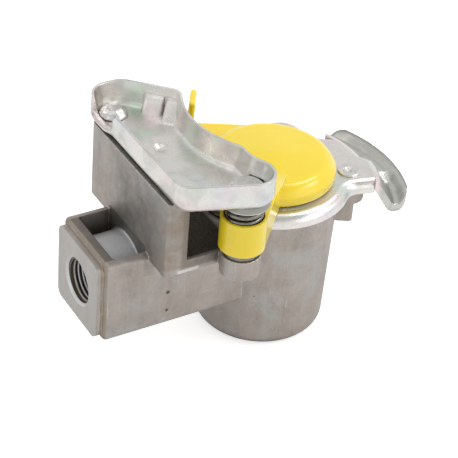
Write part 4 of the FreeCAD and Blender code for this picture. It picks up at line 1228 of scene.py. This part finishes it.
def new_piece(mesh: bpy.types.Mesh) -> bpy.types.Object:
    """Makes an object at the origin from a mesh, with the mesh's name.

    Args:
        mesh: The mesh.

    Returns:
        The object.
    """
    piece = bpy.data.objects.new(mesh.name, mesh)
    bpy.context.scene.collection.objects.link(piece)
    return piece


@dataclass(frozen=True)
class Softbox:
    """A large soft lamp that points at the object."""

    name: str
    place: Point
    size: float
    power: float
    aim: Point = (-0.01, 0.0, 0.045)

    def build(self) -> None:
        """Adds the lamp."""
        lamp = bpy.data.lights.new(self.name, "AREA")
        lamp.shape = "SQUARE"
        lamp.size = self.size
        lamp.energy = self.power
        holder = bpy.data.objects.new(self.name, lamp)
        holder.location = self.place
        holder.rotation_euler = (Vector(self.aim) - Vector(self.place)).to_track_quat("-Z", "Y").to_euler()
        bpy.context.scene.collection.objects.link(holder)


class StageWriter(NodeWriter):
    """Starts a tree of the stage, which tells directly seen rays from mirrored ones."""

    def __init__(self, tree: bpy.types.NodeTree) -> None:
        """Empties the tree and adds its Light Path.

        Args:
            tree: The tree that is written in.
        """
        super().__init__(tree)
        tree.nodes.clear()
        path = self.add("ShaderNodeLightPath").outputs
        self.seen = self.most(path["Is Camera Ray"], path["Is Transmission Ray"])
        self.glossy = path["Is Glossy Ray"]


@dataclass
class Studio:
    """Pale floor, soft lamps and an even world."""

    half_floor: float = 6.0
    ambient: float = 0.80
    lift: float = 0.62
    floor_shine: float = 0.10
    paper: Colour = (0.80, 0.80, 0.80)
    lamps: tuple[Softbox, ...] = (
        Softbox("top_box", (-0.20, 0.15, 1.00), 0.70, 1.1),
        Softbox("front_box", (0.42, -0.75, 0.50), 0.50, 0.62),
        Softbox("left_box", (-0.95, -0.05, 0.35), 0.45, 0.40),
        Softbox("near_pane", (0.66, -0.42, 0.66), 0.36, 1.5),
        Softbox("far_pane", (0.52, 0.14, 0.88), 0.36, 1.5),
    )

    def build(self) -> None:
        """Builds the floor, the world and the lamps."""
        self.floor()
        self.world()
        for lamp in self.lamps:
            lamp.build()
        bpy.context.scene.view_settings.view_transform = "Standard"
        log.info("studio with %d lamps", len(self.lamps))

    def floor(self) -> None:
        """Builds the floor. It shows the object's shadow, and is white where nothing shades it."""
        work = bmesh.new()
        reach = self.half_floor
        corners = ((-1, -1), (1, -1), (1, 1), (-1, 1))
        work.faces.new([work.verts.new((x * reach, y * reach, 0.0)) for x, y in corners])
        mesh = bpy.data.meshes.new("floor")
        work.to_mesh(mesh)
        work.free()
        floor = new_piece(mesh)
        material = bpy.data.materials.new("floor_paper")
        material.use_nodes = True
        writer = StageWriter(material.node_tree)
        paper = writer.add("ShaderNodeBsdfDiffuse", {"Color": self.paper})
        glow = writer.add("ShaderNodeEmission", {"Color": WHITE, "Strength": writer.total(
            writer.times(writer.seen, self.lift), writer.times(writer.glossy, self.floor_shine))})
        both = writer.add("ShaderNodeAddShader", {0: paper.outputs[0], 1: glow.outputs[0]})
        writer.add("ShaderNodeOutputMaterial", {"Surface": both.outputs[0]})
        mesh.materials.append(material)

    def world(self) -> None:
        """Builds the world: white where it is seen, greyer overhead when mirrored, and even in its light."""
        world = bpy.data.worlds.new("studio")
        world.use_nodes = True
        bpy.context.scene.world = world
        writer = StageWriter(world.node_tree)
        toward = writer.add("ShaderNodeTexCoord").outputs["Generated"]
        up = writer.add("ShaderNodeSeparateXYZ", {"Vector": toward}).outputs["Z"]
        shine = writer.times(writer.glossy, writer.ramp(up, 0.35, 0.95, 0.94, 0.42))
        other = writer.minus(1.0, writer.most(writer.seen, writer.glossy))
        strength = writer.total(writer.seen, shine, writer.times(other, self.ambient))
        sky = writer.add("ShaderNodeBackground", {"Color": WHITE, "Strength": strength})
        writer.add("ShaderNodeOutputWorld", {"Surface": sky.outputs[0]})


@dataclass(frozen=True)
class PhotoCamera:
    """The camera that stands where the photograph was taken from."""

    place: Point = (-0.2841, -0.4162, 0.4006)
    azimuth: float = -32.95
    elevation: float = 36.23
    roll: float = 5.06
    lens: float = 136.84
    shift: tuple[float, float] = (-0.0021, 0.0122)
    sensor: float = 36.0
    clip: tuple[float, float] = (0.05, 30.0)

    def build(self) -> None:
        """Adds the camera and makes it the scene's."""
        azimuth, elevation, roll = (math.radians(a) for a in (self.azimuth, self.elevation, self.roll))
        back = Vector((math.sin(azimuth) * math.cos(elevation), -math.cos(azimuth) * math.cos(elevation),
                       math.sin(elevation)))
        right = Vector((math.cos(azimuth), math.sin(azimuth), 0.0))
        up = back.cross(right)
        across = math.cos(roll) * right + math.sin(roll) * up
        upward = math.cos(roll) * up - math.sin(roll) * right
        lens = bpy.data.cameras.new("photo_camera")
        lens.sensor_width = self.sensor
        lens.lens = self.lens
        lens.shift_x, lens.shift_y = self.shift
        lens.clip_start, lens.clip_end = self.clip
        camera = bpy.data.objects.new("photo_camera", lens)
        turn = Matrix((across, upward, back)).transposed().to_4x4()
        camera.matrix_world = Matrix.Translation(self.place) @ turn
        bpy.context.scene.collection.objects.link(camera)
        bpy.context.scene.camera = camera


def main() -> None:
    """Builds every sub-assembly, then the studio and the camera."""
    logging.basicConfig(level=logging.INFO, format="%(name)s: %(message)s")
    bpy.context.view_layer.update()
    finishes = Finishes()
    for assembly in (Casting(finishes), Claw(finishes), Guide(finishes), Cover(finishes), Valve(finishes)):
        assembly.build()
        log.info("%s is ready", type(assembly).__name__)
    Studio().build()
    PhotoCamera().build()


if __name__ == "__main__":
    main()
